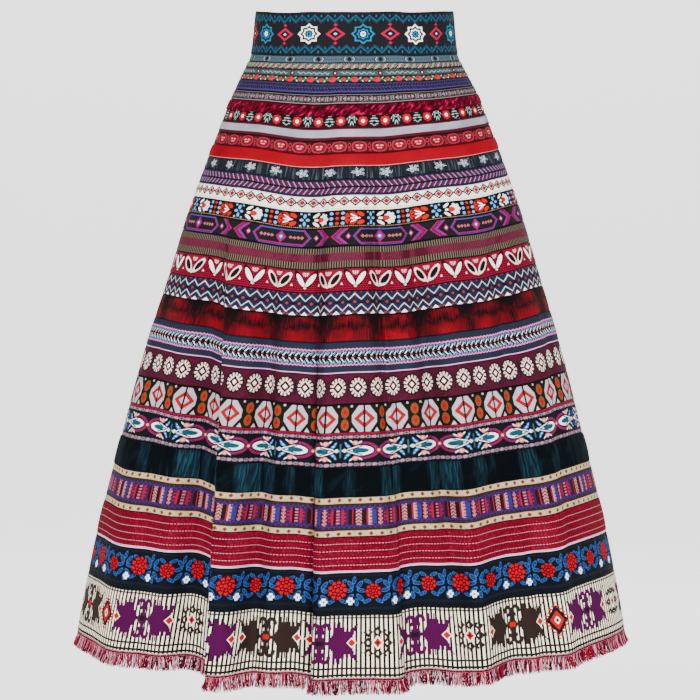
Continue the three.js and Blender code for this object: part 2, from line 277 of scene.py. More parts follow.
def row_dip(azimuth, down):
    """How far the rows hang below the form's own curve, on smooth weights between the table's places."""
    across = np.sin(azimuth)
    front = np.cos(azimuth) >= 0
    across = np.where(front, across, -across)
    by_level = np.exp(-(((down[..., None] - DIP_LEVELS) / DIP_LEVEL_REACH) ** 2))
    by_place = np.exp(-(((across[..., None] - DIP_PLACES) / DIP_PLACE_REACH) ** 2))
    total = np.einsum("...i,ij,...j->...", by_level, ROW_DIPS, by_place)
    total = total / (by_level.sum(-1) * by_place.sum(-1))
    fade = np.clip(np.abs(np.cos(azimuth)) / DIP_SIDE_FADE, 0, 1)
    return total * fade * fade * (3 - 2 * fade) * np.where(front, 1.0, DIP_BACK_SHARE)


def fold_growth(down, start):
    return np.maximum(0, (down - start) / (CLOTH_LENGTH - start)) ** FOLD_GROWTH


def fold_offset(azimuth, down):
    """How far folds and creases carry the cloth out, along the ring at a lip, and down."""
    out = np.zeros(np.broadcast(azimuth, down).shape)
    slide = out.copy()
    sag = out.copy()
    for face, hip, hem, depth, width, start, lip in FOLDS:
        centre = fold_azimuth(face, hip, hem, down)
        distance = fold_distance(azimuth, down, centre, face)
        steep = (lip != 0) & (np.sign(distance) == lip)
        reach = depth * fold_growth(down, start)
        shape = reach * np.exp(-((distance / np.where(steep, LIP_STEEPNESS, width)) ** 2))
        out += shape
        slide += lip * LIP_OVERHANG * shape
        soft = np.exp(-((distance / np.where(steep, SAG_STEEPNESS, width)) ** 2))
        sag += FOLD_SAG * reach * soft
    for face, hip, hem, depth, width, start in CREASES:
        distance = fold_distance(azimuth, down, fold_azimuth(face, hip, hem, down), face)
        growth = 1 - np.exp(-np.maximum(down - start, 0) / CREASE_RISE)
        out += depth * growth * np.exp(-((distance / width) ** 2))
    return out, slide, sag


def cloth_point(azimuth, down):
    """The cloth's middle surface in millimetres, at azimuths and distances from the top edge."""
    azimuth, down = np.broadcast_arrays(azimuth, np.asarray(down, float))
    to_front = np.maximum(np.cos(azimuth), 0)
    to_back = np.maximum(-np.cos(azimuth), 0)
    half_width = form_at("half", down)
    half_depth = np.where(to_front > 0, form_at("front", down), form_at("back", down))
    out, slide, sag = fold_offset(azimuth, down)
    outward = np.stack((np.sin(azimuth) / half_width, -np.cos(azimuth) / half_depth), -1)
    outward /= np.linalg.norm(outward, axis=-1, keepdims=True)
    x = half_width * np.sin(azimuth) - HEM_SWING * down / CLOTH_LENGTH
    y = -half_depth * np.cos(azimuth)
    x = x + outward[..., 0] * out - outward[..., 1] * slide
    y = y + outward[..., 1] * out + outward[..., 0] * slide
    dip = form_at("front_dip", down) * to_front**2 + form_at("back_dip", down) * to_back**2
    z = form_at("lean", down) * np.sin(azimuth) - form_at("drop", down) - dip - sag
    z = z - row_dip(azimuth, down)
    return np.stack((x, y, z), -1)


def level_outward(azimuth, down):
    around = cloth_point(azimuth + AZIMUTH_STEP, down) - cloth_point(azimuth - AZIMUTH_STEP, down)
    outward = np.stack((around[..., 1], -around[..., 0], np.zeros(around.shape[:-1])), -1)
    return outward / np.linalg.norm(outward, axis=-1, keepdims=True)


def ring_azimuths(down, count):
    """Azimuths once round from the left side seam, closer together where a fold has a lip."""
    even = math.pi / 2 - 2 * math.pi * (1 - np.arange(count) / count)
    azimuth = even.copy()
    for face, hip, hem, _, _, _, lip in FOLDS:
        if lip:
            off = wrap_angle(even - fold_azimuth(face, hip, hem, np.float64(down)))
            off = off / LIP_CROWD_SPREAD
            crowd = np.tanh(off) * np.exp(-((off / LIP_CROWD_REACH) ** 2))
            azimuth -= LIP_CROWDING * LIP_CROWD_SPREAD * crowd
    return azimuth


def puckers(azimuth, across, waves, height, random):
    """Small gathers across a ribbon: uneven, deeper at its sewn edges, and a little slanted."""
    total = np.zeros(np.broadcast(azimuth, across).shape)
    for share in (0.55, 0.8, 1.0, 1.3, 1.75):
        count = max(3, round(waves * share))
        phase, slant, sway = random.uniform(-math.pi, math.pi, 3)
        beat = 0.6 + 0.4 * np.sin(3 * azimuth * random.integers(1, 4) + sway)
        total += beat * np.sin(count * azimuth + phase + 1.4 * across * math.sin(slant))
    edges = 0.55 + 0.9 * np.abs(2 * across - 1) ** 1.5
    return height * edges * total / 2.2


def strip_rows(width, spacing):
    """Distances across a ribbon, closer together at its rolled edges, and how deep each one rolls."""
    edge = (0.0, 0.3, 0.8, 1.6)
    count = max(2, round((width - 2 * edge[-1]) / spacing))
    middle = np.linspace(edge[-1], width - edge[-1], count + 1)[1:-1]
    across = np.concatenate((edge, middle, width - np.array(edge[::-1])))
    inset = np.minimum(across, width - across)
    roll = np.interp(inset, edge, (1.0, 0.42, 0.1, 0.0))
    return across, roll


def ring_faces(rows, count):
    """Quads round a closed section, rows by columns, facing outwards."""
    row = np.arange(rows)[:, None]
    column = np.arange(count)[None, :]
    below = (row + 1) % rows
    beside = (column + 1) % count
    corners = (row * count + column, below * count + column, below * count + beside, row * count + beside)
    return np.stack(np.broadcast_arrays(*corners), -1).reshape(-1, 4)


def mesh_object(name, points, faces, materials, face_materials=None):
    """An object at the origin from points in millimetres, shaded smooth."""
    mesh = bpy.data.meshes.new(name)
    mesh.from_pydata((points * MM).tolist(), [], faces.tolist())
    for material in materials:
        mesh.materials.append(material)
    if face_materials is not None:
        mesh.polygons.foreach_set("material_index", face_materials)
    mesh.polygons.foreach_set("use_smooth", np.ones(len(mesh.polygons), bool))
    mesh.update()
    obj = bpy.data.objects.new(name, mesh)
    bpy.context.scene.collection.objects.link(obj)
    return obj


def ribbon_top(name):
    return sum(ribbon[1] for ribbon in RIBBONS[: NAMES.index(name)])


def make_ribbon(name, settings):
    """A ribbon's ring: its face with rolled edges, and the plain base cloth inside it."""
    index = NAMES.index(name)
    _, width, out, puff, pucker, per_100 = RIBBONS[index]
    thick = WAISTBAND_WALL if index == 0 else WALL
    top = ribbon_top(name)
    start = 0 if index == 0 else SEAM_GAP / 2
    across, roll = strip_rows(width, settings.row_spacing / MM)
    down = top + np.clip(across, start, width - SEAM_GAP / 2)
    middle = top + width / 2
    girth = strip_girth(middle)
    count = round(girth / (settings.column_spacing / MM))
    azimuth = ring_azimuths(middle, count)[None, :]
    random = np.random.default_rng(PUCKER_SEED + index)
    waves = per_100 * girth / 100
    share = (across / width)[:, None]
    outer = thick / 2 + out + puff * 4 * share * (1 - share) - settings.seam_roll / MM * roll[:, None]
    outer = outer + puckers(azimuth, share, waves, pucker, random)
    face = cloth_point(azimuth, down[:, None]) + level_outward(azimuth, down[:, None]) * outer[..., None]
    lining_rows = max(3, round(width / 12) + 1)
    lowest = down[-1] + LINING_TUCK
    highest = down[0] - LINING_TUCK * (index > 0)
    lining_down = np.linspace(lowest, highest, lining_rows)[:, None]
    inner = thick / 2 + out - thick
    lining = cloth_point(azimuth, lining_down) + level_outward(azimuth, lining_down) * inner
    points = np.concatenate((face, lining))
    rows = len(points)
    faces = ring_faces(rows, count)
    inside = np.repeat(np.arange(rows) >= len(across) - 1, count).astype(np.int32)
    along = strip_lengths(azimuth[0], middle)
    material = ribbon_material(name, width)
    obj = mesh_object(name + "_cloth", points.reshape(-1, 3), faces, (material, base_cloth()), inside)
    store_slope(obj, azimuth[0], middle, face, rows, count)
    lay_strip(obj, along, np.concatenate((across, np.linspace(width, 0, lining_rows))), count, rows)
    dress_node(obj, name)
    return obj


def dress_node(obj, name):
    """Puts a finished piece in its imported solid's place."""
    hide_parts(name)
    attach(obj, "root")


def declare_sheet(obj, with_pieces=()):
    """Works out the strip that a ribbon was cut to, its width and its length once round, and keeps neither.
    """
    name = obj.name.removesuffix("_cloth")
    index = NAMES.index(name)
    width = RIBBONS[index][1]
    girth = strip_girth(ribbon_top(name) + width / 2)


def store_slope(obj, azimuth, middle, face, rows, count):
    """Keeps how far each point of the face turns from the form without folds: sideways, -1 to 1."""
    around = np.roll(face, -1, axis=1) - np.roll(face, 1, axis=1)
    normal = np.stack((around[..., 1], -around[..., 0]), -1)
    normal /= np.linalg.norm(normal, axis=-1, keepdims=True)
    depth = np.where(np.cos(azimuth) > 0, form_at("front", middle), form_at("back", middle))
    tangent = np.stack((form_at("half", middle) * np.cos(azimuth), depth * np.sin(azimuth)), -1)
    tangent /= np.linalg.norm(tangent, axis=-1, keepdims=True)
    slope = np.zeros((rows, count), np.float32)
    slope[: len(face)] = (normal * tangent).sum(-1)
    attribute = obj.data.attributes.new(SLOPE_NAME, "FLOAT", "POINT")
    attribute.data.foreach_set("value", slope.ravel())


def strip_lengths(azimuth, down):
    """The distance along a ring from the front centre to each azimuth, and once more round."""
    closed = np.append(azimuth, azimuth[0] + 2 * math.pi)
    points = cloth_point(closed, down)
    along = np.concatenate(([0], np.cumsum(np.linalg.norm(np.diff(points, axis=0), axis=1))))
    return along - np.interp(0, closed, along)


def strip_girth(down):
    lengths = strip_lengths(np.linspace(-1.5 * math.pi, 0.5 * math.pi, GIRTH_STEPS, endpoint=False), down)
    return lengths[-1] - lengths[0]


def lay_strip(obj, along, across, count, rows):
    """Gives a ring its strip map: metres along the ribbon from the front centre, and across it."""
    layer = obj.data.uv_layers.new(name=UV_NAME)
    row = np.arange(rows)[:, None]
    column = np.arange(count)[None, :]
    row, column = np.broadcast_arrays(row, column)
    below = across[(row + 1) % rows]
    u = np.stack((along[column], along[column], along[column + 1], along[column + 1]), -1)
    v = np.stack((across[row], below, below, across[row]), -1)
    layer.data.foreach_set("uv", (np.stack((u, v), -1) * MM).astype(np.float32).ravel())


# The threads' own colours, darker than they look under the studio's light, and some painted sheen
# colours: the half-lit and highlight colours of the velvets and the chenille, the tick ribbon's pink
# twill and the gathered ribbon's shine. Most were worked out by another program from the colours
# wanted on screen. Those were chosen with the help of groups that a program made of the photo's pixels.
COLOURS = {
    "black": "100f11", "charcoal": "18171b", "navy": "161927", "midnight": "0d1016",
    "teal_blue": "0a688b", "dim_teal": "1c313f", "white": "fafafa", "cream": "fff8ea",
    "rose_red": "9e0a34", "slate": "3c4f5a", "slate_dark": "1d242c", "beige": "c0ac8a",
    "leaf_green": "2f6932", "violet": "31294a", "violet_black": "110d1c", "taupe": "544a4c",
    "pale_taupe": "7c6b6e", "brown_black": "191415", "flower_red": "a7081e", "mint": "c9ece6",
    "silver": "a19dae", "line_red": "581421", "garnet": "3b0f14", "crimson": "79192b",
    "scarlet": "840216", "gather_blue": "15191e", "ice_blue": "a2c2ee", "lilac": "855aaa",
    "straw": "d3bd35", "plum": "54182f", "ink": "150f1b", "outline": "2a181b", "deep_red": "830f28",
    "blush": "e27972", "tulip_orange": "b50c04", "sky": "599fdb", "tulip_black": "141010",
    "rope_tan": "8e6d4e", "magenta": "86044f", "iris": "433486", "chevron_ground": "17171a",
    "tick_ground": "1c1714", "tick_beige": "66584a", "shimmer": "62293a", "leaf_crimson": "790a27",
    "leaf_dark": "2a060f", "kilim_navy": "1c1d36", "bone": "bcbcae", "brick": "75302c",
    "ikat_red": "560b13", "ikat_black": "11090b", "ikat_bright": "830314", "denim": "1e2235",
    "picot_pink": "e067a8", "braid_blue": "4e7fa4", "lilac_line": "dd98cc", "braid_red": "642029",
    "burgundy": "330c1a", "halo": "191310", "ash": "b2a9af", "diamond_red": "86081c",
    "oval_orange": "9d1c10", "olive": "5d4724", "petal_black": "121014", "petal_magenta": "811853",
    "petal_teal": "175263", "petal_blue": "085c9b", "petal_yellow": "e8bc40",
    "chain_grey": "776b7a", "velvet_teal": "04080b", "teal_highlight": "1a3643",
    "velvet_crimson": "2e030d", "crimson_highlight": "a60340", "kilim_cream": "a39268",
    "kilim_brown": "3a261d", "kilim_dark": "1d1311", "kilim_blue": "282765",
    "kilim_purple": "35133f", "kilim_maroon": "2a0a17", "kilim_red": "84152d", "chenille": "60071a",
    "chenille_highlight": "a01a3c", "stitch_pink": "f09aa4", "edge_white": "f0cee2",
    "rose_black": "0c1015", "rose": "9e0317", "rose_dark": "43070e", "rose_blue": "1f3667",
    "rose_sky": "255aa7", "hem_black": "181514", "hem_purple": "3a0330", "hem_brown": "261c19",
    "hem_red": "a70a12", "fringe_red": "8a0f2c", "fringe_white": "d89cac", "fringe_navy": "241a2e",
    "base": "1c1c1f", "lace": "8c7a73", "slate_pale": "93a5aa", "rose_pink": "b4182c",
    "violet_dim": "332c52", "taupe_dark": "2a2427", "dull_pink": "a85a62", "gather_shine": "3e444b",
    "bar_pale": "7f77a2", "tulip_deep": "7c0c10", "plum_dark": "450f1e", "blush_cream": "eccfc4",
    "leaf_black": "170e10", "ikat_dim": "4c1016", "diamond_light": "9e141a", "petal_rose": "c8607c",
    "kilim_rust": "6a3224", "crimson_half_lit": "610820", "square_red": "9a2434",
    "fringe_dark": "2c0816", "kilim_pink": "b47476", "zigzag_teal": "0a5470", "leaf_pale": "8fa8a6",
    "slate_green": "364547", "hem_cream": "fff2d6", "hem_plum": "480a3e",
}
RAMP_LEVELS = 36
CLOTH_GLOSS = 0.03


def linear(colour):
    """A colour written as six hexadecimal digits, as the renderer's linear values."""
    parts = [int(colour[i : i + 2], 16) / 255 for i in (0, 2, 4)]
    return tuple(c / 12.92 if c <= 0.04045 else ((c + 0.055) / 1.055) ** 2.4 for c in parts)


def thread(name):
    return (*linear(COLOURS[name]), 1.0)


class Field:
    """A number that changes over a piece: sums on it add Math nodes, and masks join with & | ~."""

    def __init__(self, weave, socket):
        self.weave = weave
        self.socket = socket

    def __add__(self, other):
        return self.weave.maths("ADD", self, other)

    def __sub__(self, other):
        return self.weave.maths("SUBTRACT", self, other)

    def __rsub__(self, other):
        return self.weave.maths("SUBTRACT", other, self)

    def __mul__(self, other):
        return self.weave.maths("MULTIPLY", self, other)

    def __truediv__(self, other):
        return self.weave.maths("DIVIDE", self, other)

    def __rtruediv__(self, other):
        return self.weave.maths("DIVIDE", other, self)

    def __abs__(self):
        return self.weave.maths("ABSOLUTE", self)

    def __lt__(self, other):
        return self.weave.maths("LESS_THAN", self, other)

    def __gt__(self, other):
        return self.weave.maths("GREATER_THAN", self, other)

    def __or__(self, other):
        return self.weave.maths("MAXIMUM", self, other)

    def __and__(self, other):
        return self.weave.maths("MULTIPLY", self, other)

    def __invert__(self):
        return 1 - self

    __radd__ = __add__
    __rmul__ = __mul__


class Nodes:
    """A node tree under construction."""

    def __init__(self, tree):
        self.tree = tree

    def add(self, kind, settings=None, inputs=None):
        """Adds a node of a type, with its settings first and then its sockets' values or links."""
        node = self.tree.nodes.new(kind if "Node" in kind else "ShaderNode" + kind)
        for key, value in (settings or {}).items():
            if key == "stops":
                set_stops(node.color_ramp, value)
            elif key == "interpolation":
                node.color_ramp.interpolation = value
            else:
                setattr(node, key, value)
        for key, value in (inputs or {}).items():
            self.feed(node.inputs[key], value)
        return node

    def feed(self, socket, value):
        if isinstance(value, Field):
            value = value.socket
        if isinstance(value, bpy.types.NodeSocket):
            self.tree.links.new(value, socket)
        else:
            socket.default_value = value

    def maths(self, operation, *values, clamp=False):
        node = self.add("Math", {"operation": operation, "use_clamp": clamp}, dict(enumerate(values)))
        return Field(self, node.outputs[0])

    def join(self, x, y, z=0.0):
        return self.add("CombineXYZ", inputs={"X": x, "Y": y, "Z": z}).outputs[0]


class Weave(Nodes):
    """One piece's material, built from sums on its strip map: s along the ribbon and t across, in mm."""

    def __init__(self, name, pitch=0.5):
        self.material = bpy.data.materials.new(name)
        self.material.use_nodes = True
        super().__init__(self.material.node_tree)
        self.shader = self.tree.nodes["Principled BSDF"]
        strip = self.add("UVMap", {"uv_map": UV_NAME}).outputs["UV"]
        parts = self.add("SeparateXYZ", inputs={"Vector": strip}).outputs
        self.along = Field(self, parts["X"]) * 1000
        self.across = Field(self, parts["Y"]) * 1000
        self.s = self.maths("SNAP", self.along, pitch) + pitch / 2
        self.t = self.maths("SNAP", self.across, pitch) + pitch / 2
        self.slope = abs(Field(self, self.add("Attribute", {"attribute_name": SLOPE_NAME}).outputs["Fac"]))

    def smaller(self, first, second):
        return self.maths("MINIMUM", first, second)

    def sine(self, value):
        return self.maths("SINE", value)

    def wrap(self, value, period):
        return self.maths("WRAP", value, period / 2, -period / 2)

    def repeat(self, period, start=0.0):
        """The place in a repeat, from minus half to half of it. The side seam may cut one."""
        return self.wrap(self.s - start, period)

    def pair(self, period, start=0.0):
        """The place in a repeat of two motifs that take turns, and a mask of the second one."""
        twice = self.repeat(2 * period, start)
        return self.wrap(twice, period), abs(twice) > period / 2

    def near(self, value, half):
        return abs(value) < half

    def between(self, value, low, high):
        return (value > low) & (value < high)

    def turned(self, x, y, degrees):
        c, s = math.cos(math.radians(degrees)), math.sin(math.radians(degrees))
        return x * c + y * s, y * c - x * s

    def round(self, x, y):
        node = self.add("VectorMath", {"operation": "LENGTH"}, {0: self.join(x, y)})
        return Field(self, node.outputs["Value"])

    def oval(self, x, y, rx, ry, degrees=0):
        """Below 1 inside an oval."""
        if degrees:
            x, y = self.turned(x, y, degrees)
        return self.round(x / rx, y / ry)

    def diamond(self, x, y, rx, ry):
        return abs(x) / rx + abs(y) / ry

    def zigzag(self, x, period, height):
        return self.maths("PINGPONG", x, period / 2) * (2 * height / period) - height / 2

    def barbs(self, x, y, pitch, slant, half):
        """Slanted bars that meet on the line y = 0."""
        return self.near(self.wrap(x - abs(y) * slant, pitch), half)

    def petals(self, x, y, count, degrees=0.0):
        """1 along each petal's middle and 0 between petals."""
        angle = self.maths("ARCTAN2", y, x) - math.radians(degrees)
        return abs(self.maths("COSINE", angle * (count / 2)))

    def stairs(self, x, cell, *rows):
        """Lengths charted in steps of x, a letter or digit for each step, in cells."""
        count = max(len(row) for row in rows)
        levels = [[int(c, 36) / RAMP_LEVELS for c in row.ljust(count, "0")] for row in rows]
        while len(levels) < 3:
            levels.append([0.0] * count)
        stops = [(i / (count + 1), (levels[0][i], levels[1][i], levels[2][i], 1)) for i in range(count)]
        stops.append((count / (count + 1), (0, 0, 0, 1)))
        place = x / (cell * (count + 1))
        node = self.add("ValToRGB", {"interpolation": "CONSTANT", "stops": stops}, {"Fac": place})
        parts = self.add("SeparateColor", inputs={"Color": node.outputs["Color"]}).outputs
        return [Field(self, parts[i]) * (RAMP_LEVELS * cell) for i in range(len(rows))]

    def noise(self, x, y, detail=2.0):
        inputs = {"Vector": self.join(x, y), "Scale": 1.0, "Detail": detail}
        node = self.add("TexNoise", {"noise_dimensions": "2D"}, inputs)
        return Field(self, node.outputs["Fac"])

    def grain(self):
        """A different number for each thread crossing."""
        inputs = {"Vector": self.join(self.s, self.t)}
        node = self.add("TexWhiteNoise", {"noise_dimensions": "2D"}, inputs)
        return Field(self, node.outputs["Value"])

    def mix(self, first, second, factor):
        node = self.add("Mix", {"data_type": "RGBA"}, {0: factor, 6: first, 7: second})
        return node.outputs[2]

    def shade(self, colour, amount):
        if isinstance(colour, tuple):
            colour = colour[:3]
        node = self.add("VectorMath", {"operation": "SCALE"}, {0: colour, "Scale": amount})
        return node.outputs[0]

    def stripes(self, value, stops):
        """Thread colours by a value from 0 to 1."""
        stops = [(place, thread(name)) for place, name in stops]
        settings = {"interpolation": "CONSTANT", "stops": stops}
        return self.add("ValToRGB", settings, {"Fac": value}).outputs["Color"]

    def paint(self, ground, layers):
        """Lays masked colours on a ground, and keeps the greatest of the masked threads' heights."""
        colour = thread(ground) if isinstance(ground, str) else ground
        lift = None
        for mask, name, height in layers:
            over = thread(name) if isinstance(name, str) else name
            colour = self.mix(colour, over, mask)
            if height:
                raised = mask * height
                lift = raised if lift is None else self.maths("MAXIMUM", lift, raised)
        return colour, lift

    def finish(self, colour, height, roughness=0.8, gloss=CLOTH_GLOSS, sheen=0.01, tint=None):
        """Sends the colour and the height in millimetres to the shader."""
        self.feed(self.shader.inputs["Base Color"], colour)
        self.feed(self.shader.inputs["Roughness"], roughness)
        bump = self.add("Bump", inputs={"Strength": 1.0, "Distance": MM, "Height": height})
        self.feed(self.shader.inputs["Normal"], bump.outputs["Normal"])
        self.shader.inputs["Specular IOR Level"].default_value = gloss
        self.shader.inputs["Sheen Weight"].default_value = sheen
        self.shader.inputs["Sheen Roughness"].default_value = 0.4
        if tint:
            self.shader.inputs["Sheen Tint"].default_value = thread(tint)
        return self.material


def set_stops(ramp, stops):
    while len(ramp.elements) > 1:
        ramp.elements.remove(ramp.elements[-1])
    ramp.elements[0].position = stops[0][0]
    ramp.elements[0].color = stops[0][1]
    for place, colour in stops[1:]:
        ramp.elements.new(place).color = colour


# Each drawing gives a ground colour and the layers on it: a mask, a thread colour, and how far the
# thread stands out in millimetres. Its lengths are millimetres, along the ribbon (s, x) and across it
# (t, y).
def draw_waistband(w):
    x, odd = w.pair(61.5, 9.5)
    y = w.t - 25.4
    ax, ay = abs(x), abs(y) * 1.14
    star = w.smaller(w.maths("MAXIMUM", ax, ay), (ax + ay) * 0.7071)
    ring = w.between(star, 7.6, 9.7) | w.between(star, 3.9, 5.5)
    heart = w.between(w.round(x, y), 1.2, 3.0)
    beside = w.wrap(x - 30.75, 61.5)
    diamond = w.diamond(beside, y, 11.5, 8.0)
    small = w.diamond(beside, abs(y) - 10.4, 2.6, 1.9) < 1
    lines = []
    for centre, side in ((7.2, 1), (43.6, -1)):
        along = w.s - 1.1 * side
        rise = (w.t - centre) * side
        line = rise - w.zigzag(along, 15.6, 7.0)
        dots = w.oval(w.wrap(along, 15.6), rise - 2.2, 0.9, 1.7)
        gaps = w.oval(w.wrap(along - 7.8, 15.6), rise + 2.2, 0.9, 1.7)
        lines.append((w.near(line, 0.55) | (w.smaller(dots, gaps) < 1), w.between(line, 0.6, 3.0)))
    return "charcoal", (
        (lines[0][1] | lines[1][1], "dim_teal", 0.03),
        (lines[0][0] | lines[1][0], "zigzag_teal", 0.12),
        (ring & odd, "white", 0.16),
        (ring & ~odd, "teal_blue", 0.16),
        (heart & odd, "teal_blue", 0.16),
        (heart & ~odd, "white", 0.16),
        (w.between(diamond, 0.6, 1) | small, "rose_red", 0.16),
        (diamond < 0.2, "ice_blue", 0.16),
    )


def draw_slate_star(w):
    x = w.repeat(35, -5.7)
    y = w.t - 4.4
    ax, ay = abs(x), abs(y)
    dash = w.near(y, 0.45) & w.near(w.wrap(x, 3.0), 0.9) & (ax > 8)
    star = w.petals(x, y, 8) * 1.4 + 1.4 > w.round(x, y)
    bracket = w.near(ax + ay * 0.8 - 5.8, 0.5) & (ay < 2.4)
    return "slate", (
        (dash | (ay > 3.7), "slate_dark", 0.04),
        (star | (w.near(ax + ay * 0.8 - 7.4, 0.4) & (ay < 2.6)), "black", 0.08),
        (bracket, "slate_pale", 0.1),
    )


def draw_lace_scroll(w):
    x = w.repeat(8.6, 0)
    y = w.t - 3.7
    wave = w.near(y - w.sine(w.s * (2 * math.pi / 8.6)) * 1.3, 0.55)
    leaf = w.smaller(w.oval(x - 2.2, y + 1.5, 2.0, 1.1, -35), w.oval(x + 2.0, y - 1.5, 2.0, 1.1, -35))
    knot = w.oval(x, y, 1.2, 2.3, 18)
    holes = w.grain() > 0.72
    edge = w.near(y + 2.9, 0.5) & w.near(w.wrap(w.s, 1.8), 0.5)
    return "brown_black", (
        (wave | (leaf < 1) | (knot < 1), "lace", 0.4),
        ((knot < 0.7) | w.between(leaf, 0.5, 0.85), "beige", 0.45),
        (edge, "lace", 0.3),
        (holes & (y > -2.4), "taupe", 0.1),
        (leaf < 0.3, "brown_black", 0.1),
    )


def draw_slate_square(w):
    x = w.repeat(50.5, -21.4)
    y = w.t - 3.7
    square = w.maths("MAXIMUM", abs(x), abs(y))
    clear = abs(x) > 6.5
    vine = w.near(y - w.sine(w.s * (2 * math.pi / 6.3)) * 1.0, 0.4)
    return "slate_green", (
        (abs(y) > 3.1, "slate_dark", 0.02),
        (vine & clear, "slate_pale", 0.05),
        (square < 2.4, "black", 0.05),
        (square < 1.7, "crimson", 0.08),
        (square < 0.6, "white", 0.08),
    )


def draw_small_rose(w):
    x = w.repeat(25, 0.5)
    y = w.t - 3.5
    beside = w.wrap(x - 12.5, 25)
    large = w.oval(x, y, 4.3, 3.2)
    small = w.oval(beside, y, 2.6, 2.3)
    bloom = (large < w.petals(x, y, 7) * 0.14 + 0.9) | (small < 1)
    shade = w.smaller(w.oval(x + 1.4, y + 0.8, 1.7, 0.8), w.oval(beside + 0.6, y + 0.5, 1.0, 0.6))
    ax = abs(x)
    leaf = w.smaller(w.oval(ax - 6.2, y + 1.6, 2.2, 0.9, -40), w.oval(ax - 8.6, y - 1.6, 2.2, 0.9, 40))
    stem = w.near(y - w.sine(w.s * (2 * math.pi / 6.25)) * 0.9, 0.4)
    return "slate_dark", (
        (stem | (leaf < 1), "leaf_green", 0.1),
        (leaf < 0.45, "mint", 0.1),
        (bloom, "rose_pink", 0.2),
        (shade < 1, "crimson", 0.12),
    )


def draw_violet_zigzag(w):
    y = w.t - 5.6
    row = w.barbs(w.s, y, 3.7, 1.1, 1.15) & w.near(y, 3.6)
    speck = (w.grain() > 0.55) & w.near(y, 3.9)
    return "violet", (
        (speck, "violet_dim", 0.03),
        (row & ~w.near(y, 0.4), "violet_black", 0.08),
        (w.near(w.t - 10.2, 0.4), "iris", 0.06),
        ((w.t > 11.0) | (w.t < 0.6), "navy", 0.0),
    )


def draw_lens_chain(w):
    x = w.repeat(29.5, -1.4)
    y = w.t - 6.4
    ax, ay = abs(x), abs(y)
    lens = w.oval(x, y, 12.4, 3.7)
    arrow = (ax > 7.8) & (ay < (11.8 - ax) * 0.72)
    bar = (ax < 1.8) & (ay < 2.3) & ~(ax < 0.4)
    dot = w.oval(ax - 4.9, y, 1.2, 1.5)
    hook = w.near(ax - 13.4, 0.6) & (ay < 2.2)
    speck = (w.grain() > 0.6) & (ay < 3.4)
    return "brown_black", (
        ((ay < 3.6) & ~(ax < 3.0), "taupe_dark", 0.05),
        (speck, "taupe", 0.05),
        (w.between(lens, 0.84, 1.05), "black", 0.08),
        (arrow | bar | (dot < 1) | hook, "pale_taupe", 0.12),
        (w.near(ay - 4.6, 0.4), "pale_taupe", 0.14),
        ((w.t > 11.6) | (w.t < 0.7), "midnight", 0.0),
    )


def draw_sprig(w):
    x, odd = w.pair(25, 10)
    y = w.t - 5.9
    flower = w.round(x, y)
    red = flower < w.petals(x, y, 8) * 1.9 + 3.8
    cut = (w.petals(x, y, 8) < 0.25) & w.between(flower, 2.2, 6)
    beside = w.wrap(x - 12.5, 25)
    side = beside * (1 - odd * 2)
    a, b = w.turned(side, y, 30)
    lift = w.wrap(b - abs(a) * 0.8, 3.6)
    leaves = (w.oval(abs(a) - 2.3, lift, 2.2, 0.85) < 1) & w.near(b, 5.2)
    tip = w.oval(a, b + 4.7, 1.0, 1.6) < 1
    stem = w.near(a, 0.4) & w.between(b, -4, 5.6)
    line = w.near(w.t - 11.8, 0.5)
    return "tulip_black", (
        (leaves | tip, "leaf_pale", 0.2),
        (stem, "tulip_black", 0.05),
        (red, "flower_red", 0.22),
        (cut, "deep_red", 0.1),
        (flower < 2.0, "white", 0.28),
        (flower < 0.7, "lilac", 0.2),
        (line, "line_red", 0.05),
    )


def draw_silver_felt(w):
    felt = w.between(w.t, 2.7, 11.0)
    fuzz = w.noise(w.along * 1.4, w.across * 1.4, 4)
    drift = w.noise(w.along * 0.03, w.across * 0.05, 2)
    lines = w.near(w.t - 1.4, 0.6) | w.near(w.t - 11.9, 0.6) | w.near(w.t - 13.6, 0.5)
    silver = w.mix(thread("silver"), thread("taupe"), fuzz * 1.2 - 0.3)
    silver = w.shade(silver, 0.62 + drift * 0.8)
    return "midnight", (
        (felt, silver, 0.5),
        (lines, "line_red", 0.08),
    )


def draw_rounded_square(w):
    x = w.repeat(22.6, 6)
    y = w.t - 7.7
    ax = abs(x)
    cube = w.maths("POWER", ax / 8.4, 3.4) + w.maths("POWER", abs(y) / 5.9, 3.4)
    notch = w.petals(x, y * 1.3, 4, 45) * 0.22
    square = cube + notch
    beside = w.wrap(x - 11.3, 22.6)
    loop = w.oval(beside, y + 1.4, 1.9, 3.0)
    tail = w.oval(beside - 0.6, y - 3.8, 1.4, 1.7)
    blocks = w.smaller(w.oval(ax - 2.5, y + 1.3, 1.8, 0.9), w.oval(ax - 1.5, y - 1.6, 1.3, 0.9)) < 1
    return "garnet", (
        (square < 1.15, "square_red", 0.1),
        (square < 0.85, "crimson", 0.14),
        (w.between(square, 0.3, 0.46), "garnet", 0.05),
        (blocks, "blush", 0.12),
        (w.between(loop, 0.6, 1.0) | w.between(tail, 0.5, 1.0), "square_red", 0.12),
        (w.near(w.t - 0.9, 0.5) | (w.t > 14.8), "black", 0.0),
    )


